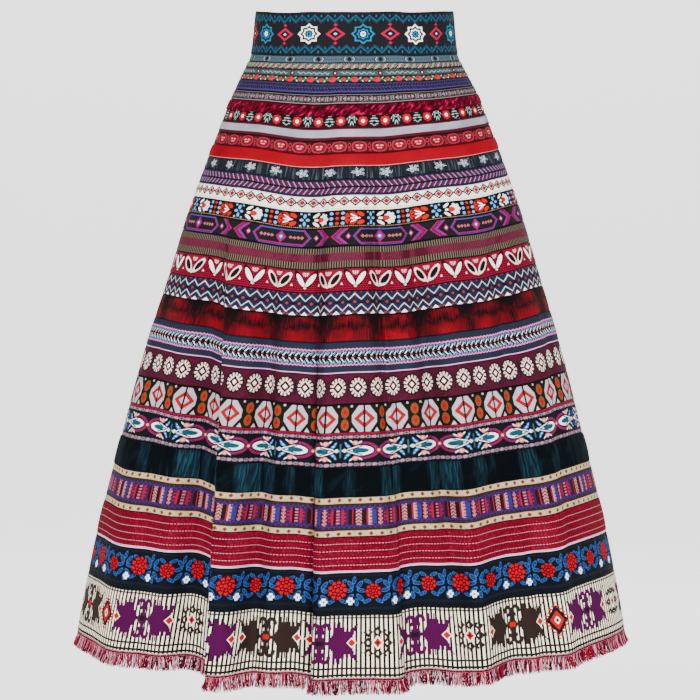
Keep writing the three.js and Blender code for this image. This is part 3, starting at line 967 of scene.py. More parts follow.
def draw_gathered_blue(w):
    x, odd = w.pair(32, 4)
    y = w.t - 7.0
    side = (x - 1.0) * (1 - odd * 2)
    spread = w.oval(side, y, 9.0, 5.6)
    rays = w.petals(side, y * 1.4, 22, 8)
    long = w.petals(side, y * 1.3, 5, 30)
    frayed = w.noise(w.s * 0.9, w.t * 0.9, 1)
    spray = (rays > 0.8) & (spread < long * 0.5 + frayed * 0.7) & (spread > 0.2)
    heart = w.oval(side, y, 2.0, 1.4)
    pleat = w.noise(w.along * 0.35, w.across * 0.03, 2)
    shine = w.maths("MULTIPLY", pleat - 0.52, 5.0, clamp=True)
    return w.mix(thread("gather_blue"), thread("gather_shine"), shine), (
        (spray, "ice_blue", 0.12),
        (spray & (w.grain() > 0.6), "white", 0.12),
        (heart < 1, "lilac", 0.14),
        (w.oval(side + 0.6, y, 1.3, 1.0) < 1, "straw", 0.16),
        (w.t > 14.6, "ink", 0.0),
    )


def draw_slanted_bar(w):
    y = w.t - 8.9
    ay = abs(y)
    band = w.between(ay, 1.0, 6.8)
    light = w.barbs(w.s, y, 6.6, -0.8, 0.9)
    plum = w.barbs(w.s + 3.0, y, 6.6, -0.8, 1.4)
    return "ink", (
        (band & plum, "plum", 0.1),
        (band & light, "bar_pale", 0.14),
        (w.near(ay - 8.0, 0.35), "violet", 0.04),
    )


def draw_diamond_chain(w):
    x = w.repeat(12.6, 2)
    y = w.t - 6.9
    lozenge = w.diamond(x, y, 6.9, 5.4)
    dash = w.near(w.t - 14.8, 0.4) & w.near(w.wrap(w.s, 2.8), 0.9)
    return "cream", (
        (lozenge < 1.06, "outline", 0.12),
        (lozenge < 0.64, "cream", 0.06),
        (lozenge < 0.58, "blush", 0.1),
        (lozenge < 0.5, "deep_red", 0.14),
        (dash | (w.t > 16.3), "outline", 0.06),
    )


def draw_tulip(w):
    x = w.repeat(80, 0.8)
    y = w.t - 8.7
    ay = abs(y)
    cup = w.oval(x + 3.2, y, 7.6, 7.4)
    wings = w.oval(x - 7.2, ay - 4.6, 4.4, 2.4, -24)
    fan = w.smaller(w.oval(x - 1.4, y, 5.6, 0.8), w.oval(x + 0.2, ay - 2.6, 4.6, 0.8, -26))
    blue = w.wrap(x - 20.5, 80)
    drops = w.smaller(w.oval(abs(blue) - 3.6, y, 2.3, 1.5), w.oval(blue, ay - 4.4, 1.7, 2.5))
    small = w.oval(abs(blue) - 4.4, ay - 6.6, 1.4, 1.1)
    bloom = w.wrap(x - 44, 80)
    white = w.round(bloom, y) < w.petals(bloom, y, 7) * 1.8 + 5.2
    leaves = w.smaller(w.oval(bloom + 10.6, ay - 5.0, 4.2, 1.6, 32), w.oval(bloom + 9.6, y, 3.4, 1.3))
    heart = w.oval(bloom + 4.6, y, 4.4, 2.8) < 1
    dots = w.wrap(x - 61, 80)
    grid = w.oval(w.wrap(dots, 6.4), w.wrap(y, 5.6), 2.1, 1.7)
    cluster = w.near(dots, 9.6) & w.near(y, 7.6)
    turn = w.near(dots, 3.2)
    cuts = w.near(w.wrap(w.round(x + 6.0, y), 3.4), 0.45) & (cup < 0.94) & (x < 2)
    return "tulip_black", (
        ((cup < 1) | (wings < 1), "tulip_orange", 0.24),
        (cuts, "tulip_deep", 0.1),
        (fan < 1.7, "tulip_black", 0.0),
        (fan < 1, "white", 0.26),
        ((drops < 1) | (small < 1), "sky", 0.2),
        (white | (leaves < 1), "white", 0.24),
        (w.near(w.wrap(w.round(bloom, y) - 0.8, 2.6), 0.3) & white, "silver", 0.1),
        (heart, "tulip_orange", 0.2),
        (cluster & (grid < 1) & turn, "tulip_orange", 0.22),
        (cluster & (grid < 1) & ~turn, "sky", 0.2),
        (w.near(w.t - 17.5, 0.6) & w.near(w.wrap(w.s, 2.2), 0.8), "rope_tan", 0.12),
    )


def draw_chevron_medallion(w):
    x = w.repeat(120, 34)
    y = w.t - 10.4
    ax, ay = abs(x), abs(y)
    bars = (ax < 26) & w.between(y, -8.8, -7.4)
    pink_bars = (ax < 25) & w.between(y, 7.0, 8.6)
    low_bars = (ax < 26) & w.between(y, 9.0, 10.0)
    gem = w.diamond(x, y, 6.4, 7.2)
    chain = w.diamond(w.wrap(ax - 11.0, 4.3), y, 2.2, 2.0)
    links = w.between(ax, 8.8, 25.8) & w.between(chain, 0.3, 1.0)
    far = abs(w.wrap(x - 60, 120))
    bent = far - ay * 1.15
    inside = ay < 9.2
    pink = w.between(bent, 0.8, 3.4) | w.between(bent, 4.4, 6.0) | w.between(bent, 8.6, 10.6)
    blue = w.between(bent, 6.6, 8.6)
    thin = far - ay * 0.85
    bracket = w.between(thin, 25.4, 26.8) & inside
    bracket_pink = w.between(thin, 27.2, 28.8) & inside
    bead = w.diamond(far - 20.5, y, 3.2, 4.0)
    return "chevron_ground", (
        (bars | low_bars | ((ax < 1.2) & (ay > 7.6)), "iris", 0.12),
        (pink_bars, "magenta", 0.12),
        (gem < 1, "magenta", 0.14),
        (gem < 0.6, "iris", 0.14),
        (gem < 0.3, "ice_blue", 0.14),
        (links, "dull_pink", 0.1),
        ((inside & pink) | bracket_pink, "magenta", 0.14),
        ((inside & blue) | bracket, "iris", 0.14),
        (bead < 1, "magenta", 0.12),
        (bead < 0.5, "beige", 0.12),
        ((w.t > 20.3) | (w.t < 0.8), "black", 0.0),
    )


def draw_brown_tick(w):
    ticks = w.near(w.wrap(w.along, 2.8), 0.62)
    edge = w.between(w.t, 1.4, 8.4) | w.between(w.t, 17.4, 25.0)
    twill = w.near(w.wrap(w.along + abs(w.wrap(w.across, 3.6)) * 0.9, 2.4), 0.6)
    # Painted satin sheen: the pink twill shows where the cloth faces the front, less on the flanks of
    # folds, and in broad patches
    satin_sheen = 1 - w.slope * w.slope * 6 + w.noise(w.along * 0.03, w.across * 0.05, 1) * 0.8
    centre = w.near(w.t - 12.9, 4.7)
    return "tick_ground", (
        (edge & ticks, "tick_beige", 0.12),
        (centre, "plum_dark", 0.05),
        # Pink twill threads as painted satin sheen
        (centre & twill & (w.grain() < satin_sheen * 0.62), "shimmer", 0.12),
        ((w.t < 0.8) | (w.t > 25.6), "midnight", 0.0),
    )


def draw_crimson_leaf(w):
    x, odd = w.pair(31, 3)
    y = w.t - 12.2
    ax = abs(x)
    wide = w.oval(ax - 8.0, y + 0.2, 4.5, 10.6, 37)
    slim = w.oval(ax - 5.8, y + 0.6, 2.7, 8.8, 33)
    crown = w.near(w.wrap(x, 1.9), 0.55) & (ax < 3.7) & w.between(y, -9.4, -4.6) & (y + ax * 1.2 < -3.2)
    base = w.diamond(x, y - 8.4, 2.0, 1.6) < 1
    beside = abs(w.wrap(x - 15.5, 31))
    peak = (beside < (y - 3.6) * 0.6) & (y < 6.4)
    dots = w.near(w.wrap(w.s + w.maths("SNAP", w.t, 2.6) * 0.5, 2.6), 0.8) & w.near(w.wrap(w.t, 2.6), 0.8)
    return "leaf_crimson", (
        (dots & (y > -4.0), "leaf_dark", 0.0),
        (~odd & (slim < 1.45), "leaf_dark", 0.02),
        (~odd & (slim < 1), "cream", 0.2),
        (odd & (wide < 1.12), "leaf_dark", 0.02),
        (odd & (wide < 1.0), "blush_cream", 0.2),
        (odd & (wide < 0.66), "leaf_black", 0.05),
        (crown | base | peak, "blush_cream", 0.16),
        (w.t > 25.4, "midnight", 0.0),
    )


def draw_zigzag_diamond(w):
    x = w.repeat(13.8, 2.5)
    y = w.t - 12.2
    ax, ay = abs(x), abs(y)
    line = w.near(ay + ax * 0.98 - 9.4, 0.8) & (ay > 2.2)
    half = w.wrap(x - 6.9, 13.8)
    bow = w.diamond(half, y, 3.4, 1.8)
    gem = w.diamond(x, y, 4.0, 3.6)
    top = w.diamond(w.wrap(x, 6.9), w.t - 0.7, 2.0, 1.4) < 1
    floor = 24.8 - w.t
    teeth = (abs(half) < 3.2 - floor * 1.0) & (floor > -0.9)
    red_teeth = w.near(ax - 2.0, 1.2) & w.near(w.t - 24.0, 0.8)
    return "kilim_navy", (
        ((ay < 0.7) | (bow < 1), "ink", 0.05),
        (w.between(gem, 0.4, 1.0), "ink", 0.05),
        (gem < 0.62, "brick", 0.1),
        (line, "bone", 0.16),
        (top, "brick", 0.12),
        (teeth, "white", 0.14),
        (red_teeth, "brick", 0.12),
        (w.t > 25.8, "midnight", 0.0),
    )


def draw_ikat(w):
    x = w.repeat(61, 27)
    y = w.t - 13.2
    feather = w.noise(w.along * 1.3, w.across * 0.06, 3) - 0.5
    sway = w.noise(w.along * 0.09, w.across * 0.05, 2) - 0.5
    column = (18 - abs(x + sway * 18)) / 20
    belt = (6.0 - abs(y + sway * 10)) / 7.5
    upper = w.maths("MULTIPLY", y, -0.05, clamp=True)
    lower = w.maths("MULTIPLY", y - 3, 0.03, clamp=True)
    dark = w.maths("MAXIMUM", column, belt) + feather * 2.4 + upper - lower
    depth = w.maths("MULTIPLY", dark + 0.3, 0.88, clamp=True)
    patch = w.noise(w.along * 0.05, w.across * 0.06, 1)
    ground = w.mix(thread("ikat_red"), thread("ikat_bright"), patch * 2.4 - 0.7)
    warp = w.near(w.wrap(w.along, 1.5), 0.4) & (w.grain() > 0.4)
    return ground, (
        (warp, "ikat_dim", 0.06),
        (depth, "ikat_black", 0.0),
        ((w.t < 0.8) | (w.t > 28.3), "midnight", 0.0),
    )


def draw_denim_braid(w):
    x = w.repeat(6.6, 0)
    y = w.t - 17.2
    ay = abs(y)
    fuzz = w.noise(w.along * 1.2, w.across * 1.2, 4)
    ground = w.mix(thread("denim"), thread("slate_dark"), fuzz * 2.2 - 0.6)
    curve = w.sine(w.s * (2 * math.pi / 4.4))
    picot = w.near(ay - 8.7 - curve * 0.5, 0.8)
    trim = ay < 8.2
    outer = w.near(ay - 6.3, 0.75) & w.near(w.wrap(w.s + y * 0.5, 3.3), 1.1)
    bend = x - ay * 0.75
    loop = w.near(w.wrap(bend, 6.6), 0.65) & w.between(ay, 1.0, 5.2)
    second = w.near(w.wrap(bend - 3.1, 6.6), 0.65) & w.between(ay, 2.6, 5.6)
    cap = w.near(ay - 5.0, 0.45) & w.near(w.wrap(x - 4.6, 6.6), 1.5)
    heart = w.oval(w.wrap(x - 1.8, 6.6), y, 1.6, 1.3) < 1
    return ground, (
        (trim, "black", 0.1),
        (outer, "braid_blue", 0.3),
        (second, "braid_blue", 0.34),
        (loop | cap, "white", 0.42),
        (heart, "braid_red", 0.24),
        (picot, "picot_pink", 0.36),
        (w.between(w.t, 34.2, 35.3), "lilac_line", 0.14),
    )


def draw_rosette(w):
    x = w.repeat(22.6, 7.2)
    y = w.t - 16.4
    far = w.round(x * 1.06, y * 0.84)
    rays = w.petals(x, y * 0.8, 13)
    sun = (far < 9.3) & ((rays > 0.66) | (far < 6.2))
    gem = w.diamond(x, y, 6.0, 7.2)
    rib = w.near(w.wrap(w.along, 1.2), 0.25) & (w.grain() > 0.3)
    between = w.near(abs(x) - 11.3, 0.4) & w.near(y, 9.5)
    return "burgundy", (
        (rib, "plum", 0.03),
        (between, "ink", 0.0),
        (far < 10.9, "halo", 0.04),
        (sun, "blush_cream", 0.2),
        (gem < 1, "burgundy", 0.1),
        (gem < 0.46, "cream", 0.2),
        (w.t > 35.2, "black", 0.0),
    )


def draw_hexagon(w):
    x = w.repeat(43, 14.6)
    y = w.t - 17.0
    ax, ay = abs(x), abs(y)
    panel = (ax + ay * 0.67 < 16.4) & (ax < 13.4) & (ay < 15.6) & (ax > 0.9)
    gem = w.diamond(x, y, 11.4, 11.6)
    beside = w.wrap(x - 21.5, 43)
    ovals = w.oval(beside, ay - 7.3, 4.6, 6.7)
    corner = abs(beside)
    tick = w.near(corner - 7.6, 1.1) & w.between(y, -15.8, -13.6)
    teeth = (abs(corner - 8.4) < (y - 10.6) * 0.6) & (y < 15.4)
    ridge = w.near(w.wrap(w.across - w.along * 0.25, 2.2), 0.5)
    return "halo", (
        (panel, "ash", 0.16),
        (panel & ridge, "silver", 0.14),
        (panel & w.between(gem, 0.52, 1.0), "diamond_red", 0.24),
        (panel & w.between(gem, 0.66, 0.86), "diamond_light", 0.24),
        (ovals < 1, "olive", 0.1),
        (ovals < 0.74, "oval_orange", 0.24),
        (ovals < 0.3, "diamond_red", 0.26),
        (tick | teeth, "ash", 0.12),
        (w.t > 33.3, "rose_red", 0.12),
        (w.t < 0.8, "black", 0.0),
    )


def draw_petal_eye(w):
    x = w.repeat(84, -11.4)
    y = w.t - 19.4
    ax, ay = abs(x), abs(y)
    lens = w.oval(ax - 22.0, y, 14.5, 5.6)
    ribs = w.near(w.wrap(ay - ax * 0.3, 2.4), 0.7) & (ax < 24)
    pupil = w.oval(ax - 22.5, y, 9.0, 2.8)
    arc = w.oval(ax - 25.0, y, 17.5, 10.0)
    comb = w.near(w.wrap(ax - ay * 0.8, 2.4), 0.8)
    low_leaf = w.oval(ax - 8.4, ay - 5.2, 4.0, 1.9, -32)
    leaves = w.smaller(low_leaf, w.oval(ax - 6.0, ay - 8.2, 2.6, 1.3, -50))
    tulip = w.oval(ax - 16.8, ay - 8.8, 3.4, 2.7)
    far_stroke = w.oval(ax - 21.6, ay - 9.4, 3.0, 0.8, 32)
    strokes = w.smaller(far_stroke, w.oval(ax - 12.4, ay - 10.2, 2.8, 0.8, -36))
    join = w.diamond(ax - 4.6, y, 3.6, 2.4)
    gap = w.near(y, 8) & (ax < 0.9)
    dot = w.oval(w.wrap(x - 42, 84), y, 1.8, 1.5)
    edge = ay - 15.9
    link = w.wrap(w.s, 6.5)
    ring = w.between(w.oval(link, edge, 3.2, 1.7), 0.55, 1.0)
    bar = w.barbs(w.s, edge, 3.25, 0.9, 0.4) & w.near(edge, 2.0)
    bloom = w.oval(w.wrap(w.s, 13), edge, 1.5, 1.4)
    return "petal_black", (
        (ring | bar, "chain_grey", 0.12),
        (bloom < 1, "petal_rose", 0.16),
        (w.between(arc, 0.72, 1.0) & (ax > 17), "petal_magenta", 0.18),
        (w.between(arc, 0.72, 1.0) & (ax > 17) & ~comb, "petal_black", 0.1),
        (lens < 1, "white", 0.16),
        ((lens < 1) & ribs, "petal_black", 0.08),
        (w.between(lens, 0.0, 0.5), "mint", 0.14),
        (pupil < 1, "petal_teal", 0.18),
        ((pupil < 0.85) & w.barbs(ax, y, 2.2, 0.8, 0.4), "petal_black", 0.05),
        (leaves < 1, "petal_blue", 0.18),
        (leaves < 0.4, "ice_blue", 0.18),
        (strokes < 1, "mint", 0.16),
        (tulip < 1, "petal_rose", 0.18),
        (tulip < 0.55, "petal_yellow", 0.18),
        ((join < 1) & (ax > 1.4), "blush_cream", 0.16),
        (gap, "petal_teal", 0.05),
        (dot < 1, "petal_yellow", 0.16),
        (w.t < 0.9, "rose_red", 0.1),
    )


def draw_kilim_block(w):
    x = w.repeat(61, 10.2)
    t = w.smaller(w.t, 45.5 - w.t)
    tile = w.wrap(w.s, 11.6)
    gem = w.diamond(tile, t - 3.8, 2.9, 2.7)
    saltire = w.near(abs(w.wrap(tile - 5.8, 11.6)) - abs(t - 3.8) * 0.9, 0.7)
    place = w.maths("ADD", x / 61, 0.5)
    blocks = w.stripes(place, (
        (0.0, "kilim_red"), (0.035, "kilim_maroon"), (0.11, "kilim_purple"), (0.18, "kilim_red"),
        (0.23, "kilim_purple"), (0.31, "kilim_dark"), (0.38, "kilim_red"), (0.41, "kilim_maroon"),
        (0.57, "kilim_dark"), (0.63, "kilim_red"), (0.66, "kilim_purple"), (0.73, "kilim_blue"),
        (0.81, "kilim_maroon"), (0.93, "kilim_purple"),
    ))
    y = w.t - 22.75
    ay = abs(y)
    core = ay < 9.4
    first = (abs(x) < 3.4) & w.near(w.wrap(y - abs(x) * 0.8, 3.7), 1.2)
    second = (abs(x - 12.2) < 1.9) & ~(w.near(w.wrap(y, 3.8), 0.6) & (x > 12.4))
    far = abs(x - 23.2)
    third = (far < 2.6) & (w.near(w.wrap(y + far * 0.9, 4.2), 1.1) | (far < 0.9))
    fourth = (abs(x + 23.2) < 2.1) & w.near(w.wrap(y, 3.4), 1.0)
    bar_places = w.between(x, 26.6, 30.5) | w.between(x, -19.8, -13.6)
    bars = (ay < 4.6) & w.near(w.wrap(y, 4.6), 1.2) & bar_places
    teeth = w.near(w.zigzag(w.s, 5.6, 3.6) - (t - 12.2), 0.8)
    return blocks, (
        (t < 14.0, "kilim_maroon", 0.0),
        (w.between(t, 10.6, 14.8) & w.near(w.wrap(w.s, 2.8), 0.8), "kilim_purple", 0.08),
        (core & (first | second), "kilim_pink", 0.2),
        (core & (third | fourth), "dull_pink", 0.2),
        (core & bars, "kilim_red", 0.12),
        (teeth, "kilim_blue", 0.14),
        (t < 10.2, "kilim_brown", 0.05),
        (w.between(t, 8.0, 9.6) & w.near(w.wrap(w.s, 2.6), 0.8), "kilim_dark", 0.05),
        (t < 7.4, "kilim_cream", 0.1),
        ((t < 7.2) & saltire, "beige", 0.16),
        ((t < 7.2) & w.between(gem, 1.0, 1.5), "beige", 0.1),
        (gem < 1, "kilim_rust", 0.14),
        (t < 0.9, "kilim_dark", 0.0),
    )


def draw_rose(w):
    x = w.repeat(78, -11.8)
    y = w.t - 21.6
    beside = w.wrap(x - 39, 78)
    layers = []
    blooms = None
    for place, height, size, turn in ((x, y + 1.0, 10.2, 0), (beside, y - 0.5, 8.0, 20)):
        far = w.round(place, height)
        ragged = (w.noise(w.s * 0.45, w.t * 0.45, 1) - 0.25) * (size * 0.5)
        edge = w.petals(place, height, 9, turn) * (size * 0.14) + ragged + size * 0.76
        petals = w.petals(place, height, 7, turn + 25)
        inner = petals * (size * 0.2) + size * 0.46
        core = w.petals(place, height, 5, turn) * (size * 0.14) + size * 0.18
        cuts = (w.petals(place, height, 9, turn + 20) > 0.93) & (far > inner)
        middle = (w.petals(place, height, 7, turn + 50) > 0.93) & w.between(far - core, 0, size * 0.3)
        lines = w.near(far - inner, 0.6) | w.near(far - core, 0.6) | cuts | middle
        layers += [(far < edge, "rose", 0.32), (lines & (far < edge), "rose_dark", 0.1)]
        blooms = far < edge + 1.2 if blooms is None else blooms | (far < edge + 1.2)
    quarter = w.wrap(x - 19.5, 39)
    aq = abs(quarter)
    leaf = w.smaller(w.oval(aq - 5.0, y + 7.0, 2.5, 5.4, 40), w.oval(aq - 5.4, y - 7.4, 2.5, 5.6, -44))
    leaf = w.smaller(leaf, w.oval(quarter + 1.0, y + 11.6, 2.3, 4.6, 8))
    leaf = w.smaller(leaf, w.oval(quarter - 1.6, y - 12.6, 2.4, 4.6, -10))
    leaf = w.smaller(leaf, w.oval(aq - 6.6, y + 0.4, 5.2, 2.3, 12))
    leaf = w.smaller(leaf, w.oval(aq - 13.4, y + 10.2, 4.6, 2.1, 24))
    leaf = w.smaller(leaf, w.oval(aq - 13.0, y - 11.4, 4.8, 2.1, -28))
    vein = w.between(leaf, 0.0, 0.14) | w.between(leaf, 0.72, 0.86)
    rib = w.near(w.wrap(w.s + w.t, 2.2), 0.5) & w.between(leaf, 0.14, 0.7)
    side = w.smaller(abs(w.wrap(x - 14.5, 78)), abs(w.wrap(x + 14.8, 78)))
    low = y - 11.5
    flower = w.round(side, low)
    small = flower < w.petals(side, low, 5) * 1.7 + 2.6
    rope = w.near(w.wrap(w.s + w.t * 1.2, 3.6), 1.0) & (w.near(w.t - 41.0, 1.3) | w.near(w.t - 4.4, 1.0))
    return "rose_black", (
        ((leaf < 1) & ~blooms, "rose_blue", 0.22),
        (rib & ~blooms, "rose_black", 0.14),
        (vein & ~blooms & (leaf < 1), "rose_sky", 0.14),
        *layers,
        (small, "white", 0.26),
        (flower < 1.0, "rose_black", 0.1),
        (rope, "navy", 0.16),
        (w.t < 1.4, "edge_white", 0.1),
    )


def nearest(w, x, *places):
    """The distance along the hem ribbon's repeat to the nearest of some places."""
    far = [abs(w.wrap(x - place, HEM_REPEAT)) for place in places]
    found = far[0]
    for other in far[1:]:
        found = w.smaller(found, other)
    return found


def draw_hem_kilim(w):
    x = w.s
    y = abs(w.t - 30.0)
    stripe = w.near(w.wrap(w.along, 5.0), 1.2)
    ladder = w.near(w.t - 2.6, 0.8) | w.near(w.t - 57.4, 1.05) | w.near(w.t - 64.6, 1.2) | (w.t < 0.7)
    bird_place = nearest(w, x, -324, -198, -30, 96)
    claw_place = nearest(w, x, -114, 222)
    motif = w.smaller(bird_place, claw_place)
    body, notch = w.stairs(
        motif, 1.5,
        "333211234578a8b898678678899a",
        "0000000000000000000001234689",
    )
    tall = y * 0.71
    curl = w.oval(motif - 5.6, y - 15.8, 6.2, 6.6)
    arm = w.between(curl, 0.36, 1.0) & ~((motif > 5.8) & w.between(y, 8.6, 16.4))
    tip = w.oval(motif - 9.8, y - 15.8, 2.4, 2.2) < 1
    shape = ((tall < body) & ~(tall < notch)) | arm | tip | ((motif < 2.6) & (y < 14))
    shape = shape | (w.near(motif - 15.6, 1.5) & (tall < 16.4))
    bird = shape & (bird_place < HEM_FIGURE_REACH)
    claw = shape & (claw_place < HEM_FIGURE_REACH)
    eye = w.oval(motif - 1.8, y, 2.6, 3.0) < 1
    net_place = nearest(w, x, -261, 33, 159)
    cell = w.diamond(w.wrap(net_place, 10.4), w.wrap(y, 11.6), 5.2, 5.8)
    net = w.near(cell - 0.72, 0.34) & (net_place < 18.5) & (y + net_place * 0.45 < 18.5)
    bead = w.diamond(net_place, y, 4.6, 5.2)
    arrow = w.diamond(motif - 35.0, y, 4.4, 4.4)
    gem = w.diamond(nearest(w, x, 277), y, 12.6, 16.5)
    spikes = w.between(gem, 1.0, 1.3) & w.near(w.wrap(w.t, 3.6), 0.9)
    ribs = w.near(w.wrap(w.along, 1.7), 0.4)
    return "hem_cream", (
        (stripe | ladder, "hem_black", 0.0),
        (bird, "hem_purple", 0.22),
        (bird & ribs, "hem_plum", 0.16),
        (claw | net, "hem_brown", 0.22),
        (eye & (bird_place < HEM_FIGURE_REACH), "hem_black", 0.22),
        (eye & (claw_place < HEM_FIGURE_REACH), "hem_red", 0.24),
        (bead < 1.5, "hem_cream", 0.1),
        (bead < 1, "hem_red", 0.24),
        (bead < 0.4, "hem_purple", 0.24),
        (arrow < 1.35, "hem_cream", 0.1),
        (arrow < 1, "hem_red", 0.24),
        (spikes, "hem_red", 0.2),
        (gem < 1, "hem_black", 0.2),
        (gem < 0.66, "hem_red", 0.26),
        (gem < 0.3, "hem_cream", 0.24),
        (gem < 0.16, "hem_purple", 0.24),
    )


DRAWINGS = {
    "waistband": draw_waistband,
    "slate_star_ribbon": draw_slate_star,
    "lace_scroll_trim": draw_lace_scroll,
    "slate_square_ribbon": draw_slate_square,
    "small_rose_ribbon": draw_small_rose,
    "violet_zigzag_ribbon": draw_violet_zigzag,
    "lens_chain_ribbon": draw_lens_chain,
    "red_flower_sprig_ribbon": draw_sprig,
    "silver_felt_ribbon": draw_silver_felt,
    "rounded_square_ribbon": draw_rounded_square,
    "gathered_blue_ribbon": draw_gathered_blue,
    "slanted_bar_ribbon": draw_slanted_bar,
    "diamond_chain_ribbon": draw_diamond_chain,
    "tulip_ribbon": draw_tulip,
    "chevron_medallion_ribbon": draw_chevron_medallion,
    "brown_tick_ribbon": draw_brown_tick,
    "crimson_leaf_ribbon": draw_crimson_leaf,
    "zigzag_diamond_ribbon": draw_zigzag_diamond,
    "ikat_ribbon": draw_ikat,
    "denim_braid_trim": draw_denim_braid,
    "burgundy_rosette_ribbon": draw_rosette,
    "hexagon_ribbon": draw_hexagon,
    "petal_eye_ribbon": draw_petal_eye,
    "kilim_block_ribbon": draw_kilim_block,
    "rose_ribbon": draw_rose,
    "hem_kilim_ribbon": draw_hem_kilim,
}
# Velvets and chenille: the pile's colour, its painted sheen colours where the pile is half raised and where
# it is brushed up, and its crush
VELVETS = {
    "crimson_velvet_ribbon": ("velvet_crimson", "crimson_half_lit", "crimson_highlight", 0.22, 1.0),
    "scarlet_velvet_ribbon": ("scarlet", "scarlet", "scarlet", 0.05, 0.08),
    "teal_velvet_ribbon": ("velvet_teal", "velvet_teal", "teal_highlight", 0.04, 0.1),
    "red_chenille_ribbon": ("chenille", "chenille", "chenille_highlight", 0.6, 0.8),
}


def woven_material(name, width):
    """A woven or embroidered ribbon: its drawing, thread ribs, uneven dye, a stitched edge, and painted
    shade on the flanks of folds and along its sewn edges.
    """
    w = Weave(name)
    colour, lift = w.paint(*DRAWINGS[name](w))
    edge = w.smaller(w.across, width - w.across)
    stitch = w.near(edge - 1.0, 0.2) & w.near(w.wrap(w.along, 2.6), 0.85)
    dye = w.noise(w.along * 0.045, w.across * 0.045, 2)
    # Uneven dye and thread tone, with painted shade where the cloth turns in a fold
    dye_and_fold_shade = 0.84 + w.grain() * 0.2 + dye * 0.16 - w.slope * w.slope * 0.3
    # The colour is darker within 0.6 mm of each edge, partly wear and partly painted shade at the seam; the
    # stitches are darker thread
    colour = w.shade(colour, dye_and_fold_shade - (edge < 0.6) * 0.35 - stitch * 0.3)
    rib = abs(w.sine(w.along * (math.pi / 0.9)))
    weft = abs(w.sine(w.across * (math.pi / 0.7)))
    height = rib * 0.06 + weft * 0.04 + lift - stitch * 0.12
    return w.finish(colour, height, 0.72 + dye * 0.2)


def velvet_material(name, width):
    """Pile cloth with painted sheen: lighter colours are painted in streaks of brushed and pressed pile,
    and where the cloth turns in a fold.
    """
    pile, middle, highlight, crush_scale, crush = VELVETS[name]
    w = Weave(name)
    hairs = w.noise(w.along * 0.5, w.across * 0.04, 4)
    slanted = w.along * crush_scale + w.across * crush_scale * 0.8
    pressed = w.noise(slanted, w.across * crush_scale * 0.7, 5)
    drift = w.noise(w.along * 0.02, w.across * 0.02, 2)
    # Painted highlight where the cloth turns in a fold, strongest along brushed streaks of the pile
    fold = w.maths("MULTIPLY", w.slope + drift * 0.6 - 0.5, 2.6, clamp=True)
    brushed = w.maths("MULTIPLY", hairs - 0.5, 7.0, clamp=True)
    # Painted sheen in slanted streaks where the pile is pressed flat
    crush_sheen = w.maths("MULTIPLY", pressed - 0.59, 9.0, clamp=True)
    chenille = name == "red_chenille_ribbon"
    if chenille:
        fold = fold * 0.2
    # How much of the painted highlight colour shows
    share = w.maths("ADD", fold * (brushed * 0.75 + 0.2), crush_sheen * crush, clamp=True)
    fibre = w.noise(w.along * 1.6, w.across * 1.6, 3)
    # Painted sheen: where the pile is pressed it turns to its half-lit colour, then to its highlight colour
    # by the share above
    ground = w.mix(thread(pile), thread(middle), w.maths("MULTIPLY", pressed - 0.4, 4.5, clamp=True))
    colour = w.shade(w.mix(ground, thread(highlight), share), 0.45 + fibre * 0.55 + drift * 0.5)
    height = fibre * 0.2 + pressed * crush * 1.4
    if chenille:
        rows = w.near(w.wrap(w.across + 0.5, 8.0), 0.45) & w.between(w.across, 4, 36)
        valley = w.near(w.wrap(w.across + 0.5, 8.0), 1.3) & w.between(w.across, 4, 36)
        dashes = rows & w.near(w.wrap(w.along + fibre, 3.4), 1.1)
        # Painted shade in the grooves along the stitched rows, which also sink in the bump
        colour = w.shade(colour, 1 - valley * 0.3)
        colour = w.mix(colour, thread("stitch_pink"), dashes * 0.75)
        height = height - valley * 0.5 + dashes * 0.3
    edges = {"scarlet_velvet_ribbon": "blush", "red_chenille_ribbon": "edge_white"}
    if name in edges:
        colour = w.mix(colour, thread(edges[name]), w.across > width - 0.9)
    return w.finish(colour, height, 0.9, 0.03, 0.3 if "velvet" in name else 0.05, highlight)


def ribbon_material(name, width):
    make = velvet_material if name in VELVETS else woven_material
    return make(name, width)


def base_cloth():
    """The plain dark cotton that carries the ribbons, seen only inside the skirt."""
    made = bpy.data.materials.get("base_cloth")
    if made:
        return made
    w = Weave("base_cloth")
    warp = abs(w.sine(w.along * (math.pi / 1.2)))
    weft = abs(w.sine(w.across * (math.pi / 1.2)))
    dye = w.noise(w.along * 0.03, w.across * 0.03, 3)
    # Painted thread shading: lighter on the crowns of the warp and weft, the same ribs as the bump; the dye
    # noise is uneven colour
    colour = w.shade(thread("base"), 0.7 + warp * 0.15 + weft * 0.15 + dye * 0.3)
    return w.finish(colour, (warp + weft) * 0.08, 0.9)


def fringe_material():
    """Loose threads, each of one colour, in tufts of like colours."""
    made = bpy.data.materials.new("fringe_threads")
    made.use_nodes = True
    nodes = Nodes(made.node_tree)
    shader = made.node_tree.nodes["Principled BSDF"]
    tone = nodes.add("Attribute", {"attribute_name": TONE_NAME}).outputs["Fac"]
    stops = [(place, thread(name)) for place, name in FRINGE_TONES]
    settings = {"interpolation": "CONSTANT", "stops": stops}
    nodes.feed(shader.inputs["Base Color"], nodes.add("ValToRGB", settings, {"Fac": tone}).outputs["Color"])
    shader.inputs["Roughness"].default_value = 0.85
    shader.inputs["Specular IOR Level"].default_value = CLOTH_GLOSS
    return made


def fringe_strip_material():
    """The woven head of the fringe, in upright threads."""
    w = Weave("fringe_strip")
    pick = w.wrap(w.along, 1.6)
    colour = w.mix(thread("fringe_red"), thread("fringe_white"), w.near(pick, 0.35) & (w.grain() > 0.3))
    colour = w.mix(colour, thread("fringe_dark"), w.near(w.across - 1.5, 0.35))
    return w.finish(colour, abs(w.sine(w.along * (math.pi / 0.8))) * 0.15, 0.85)


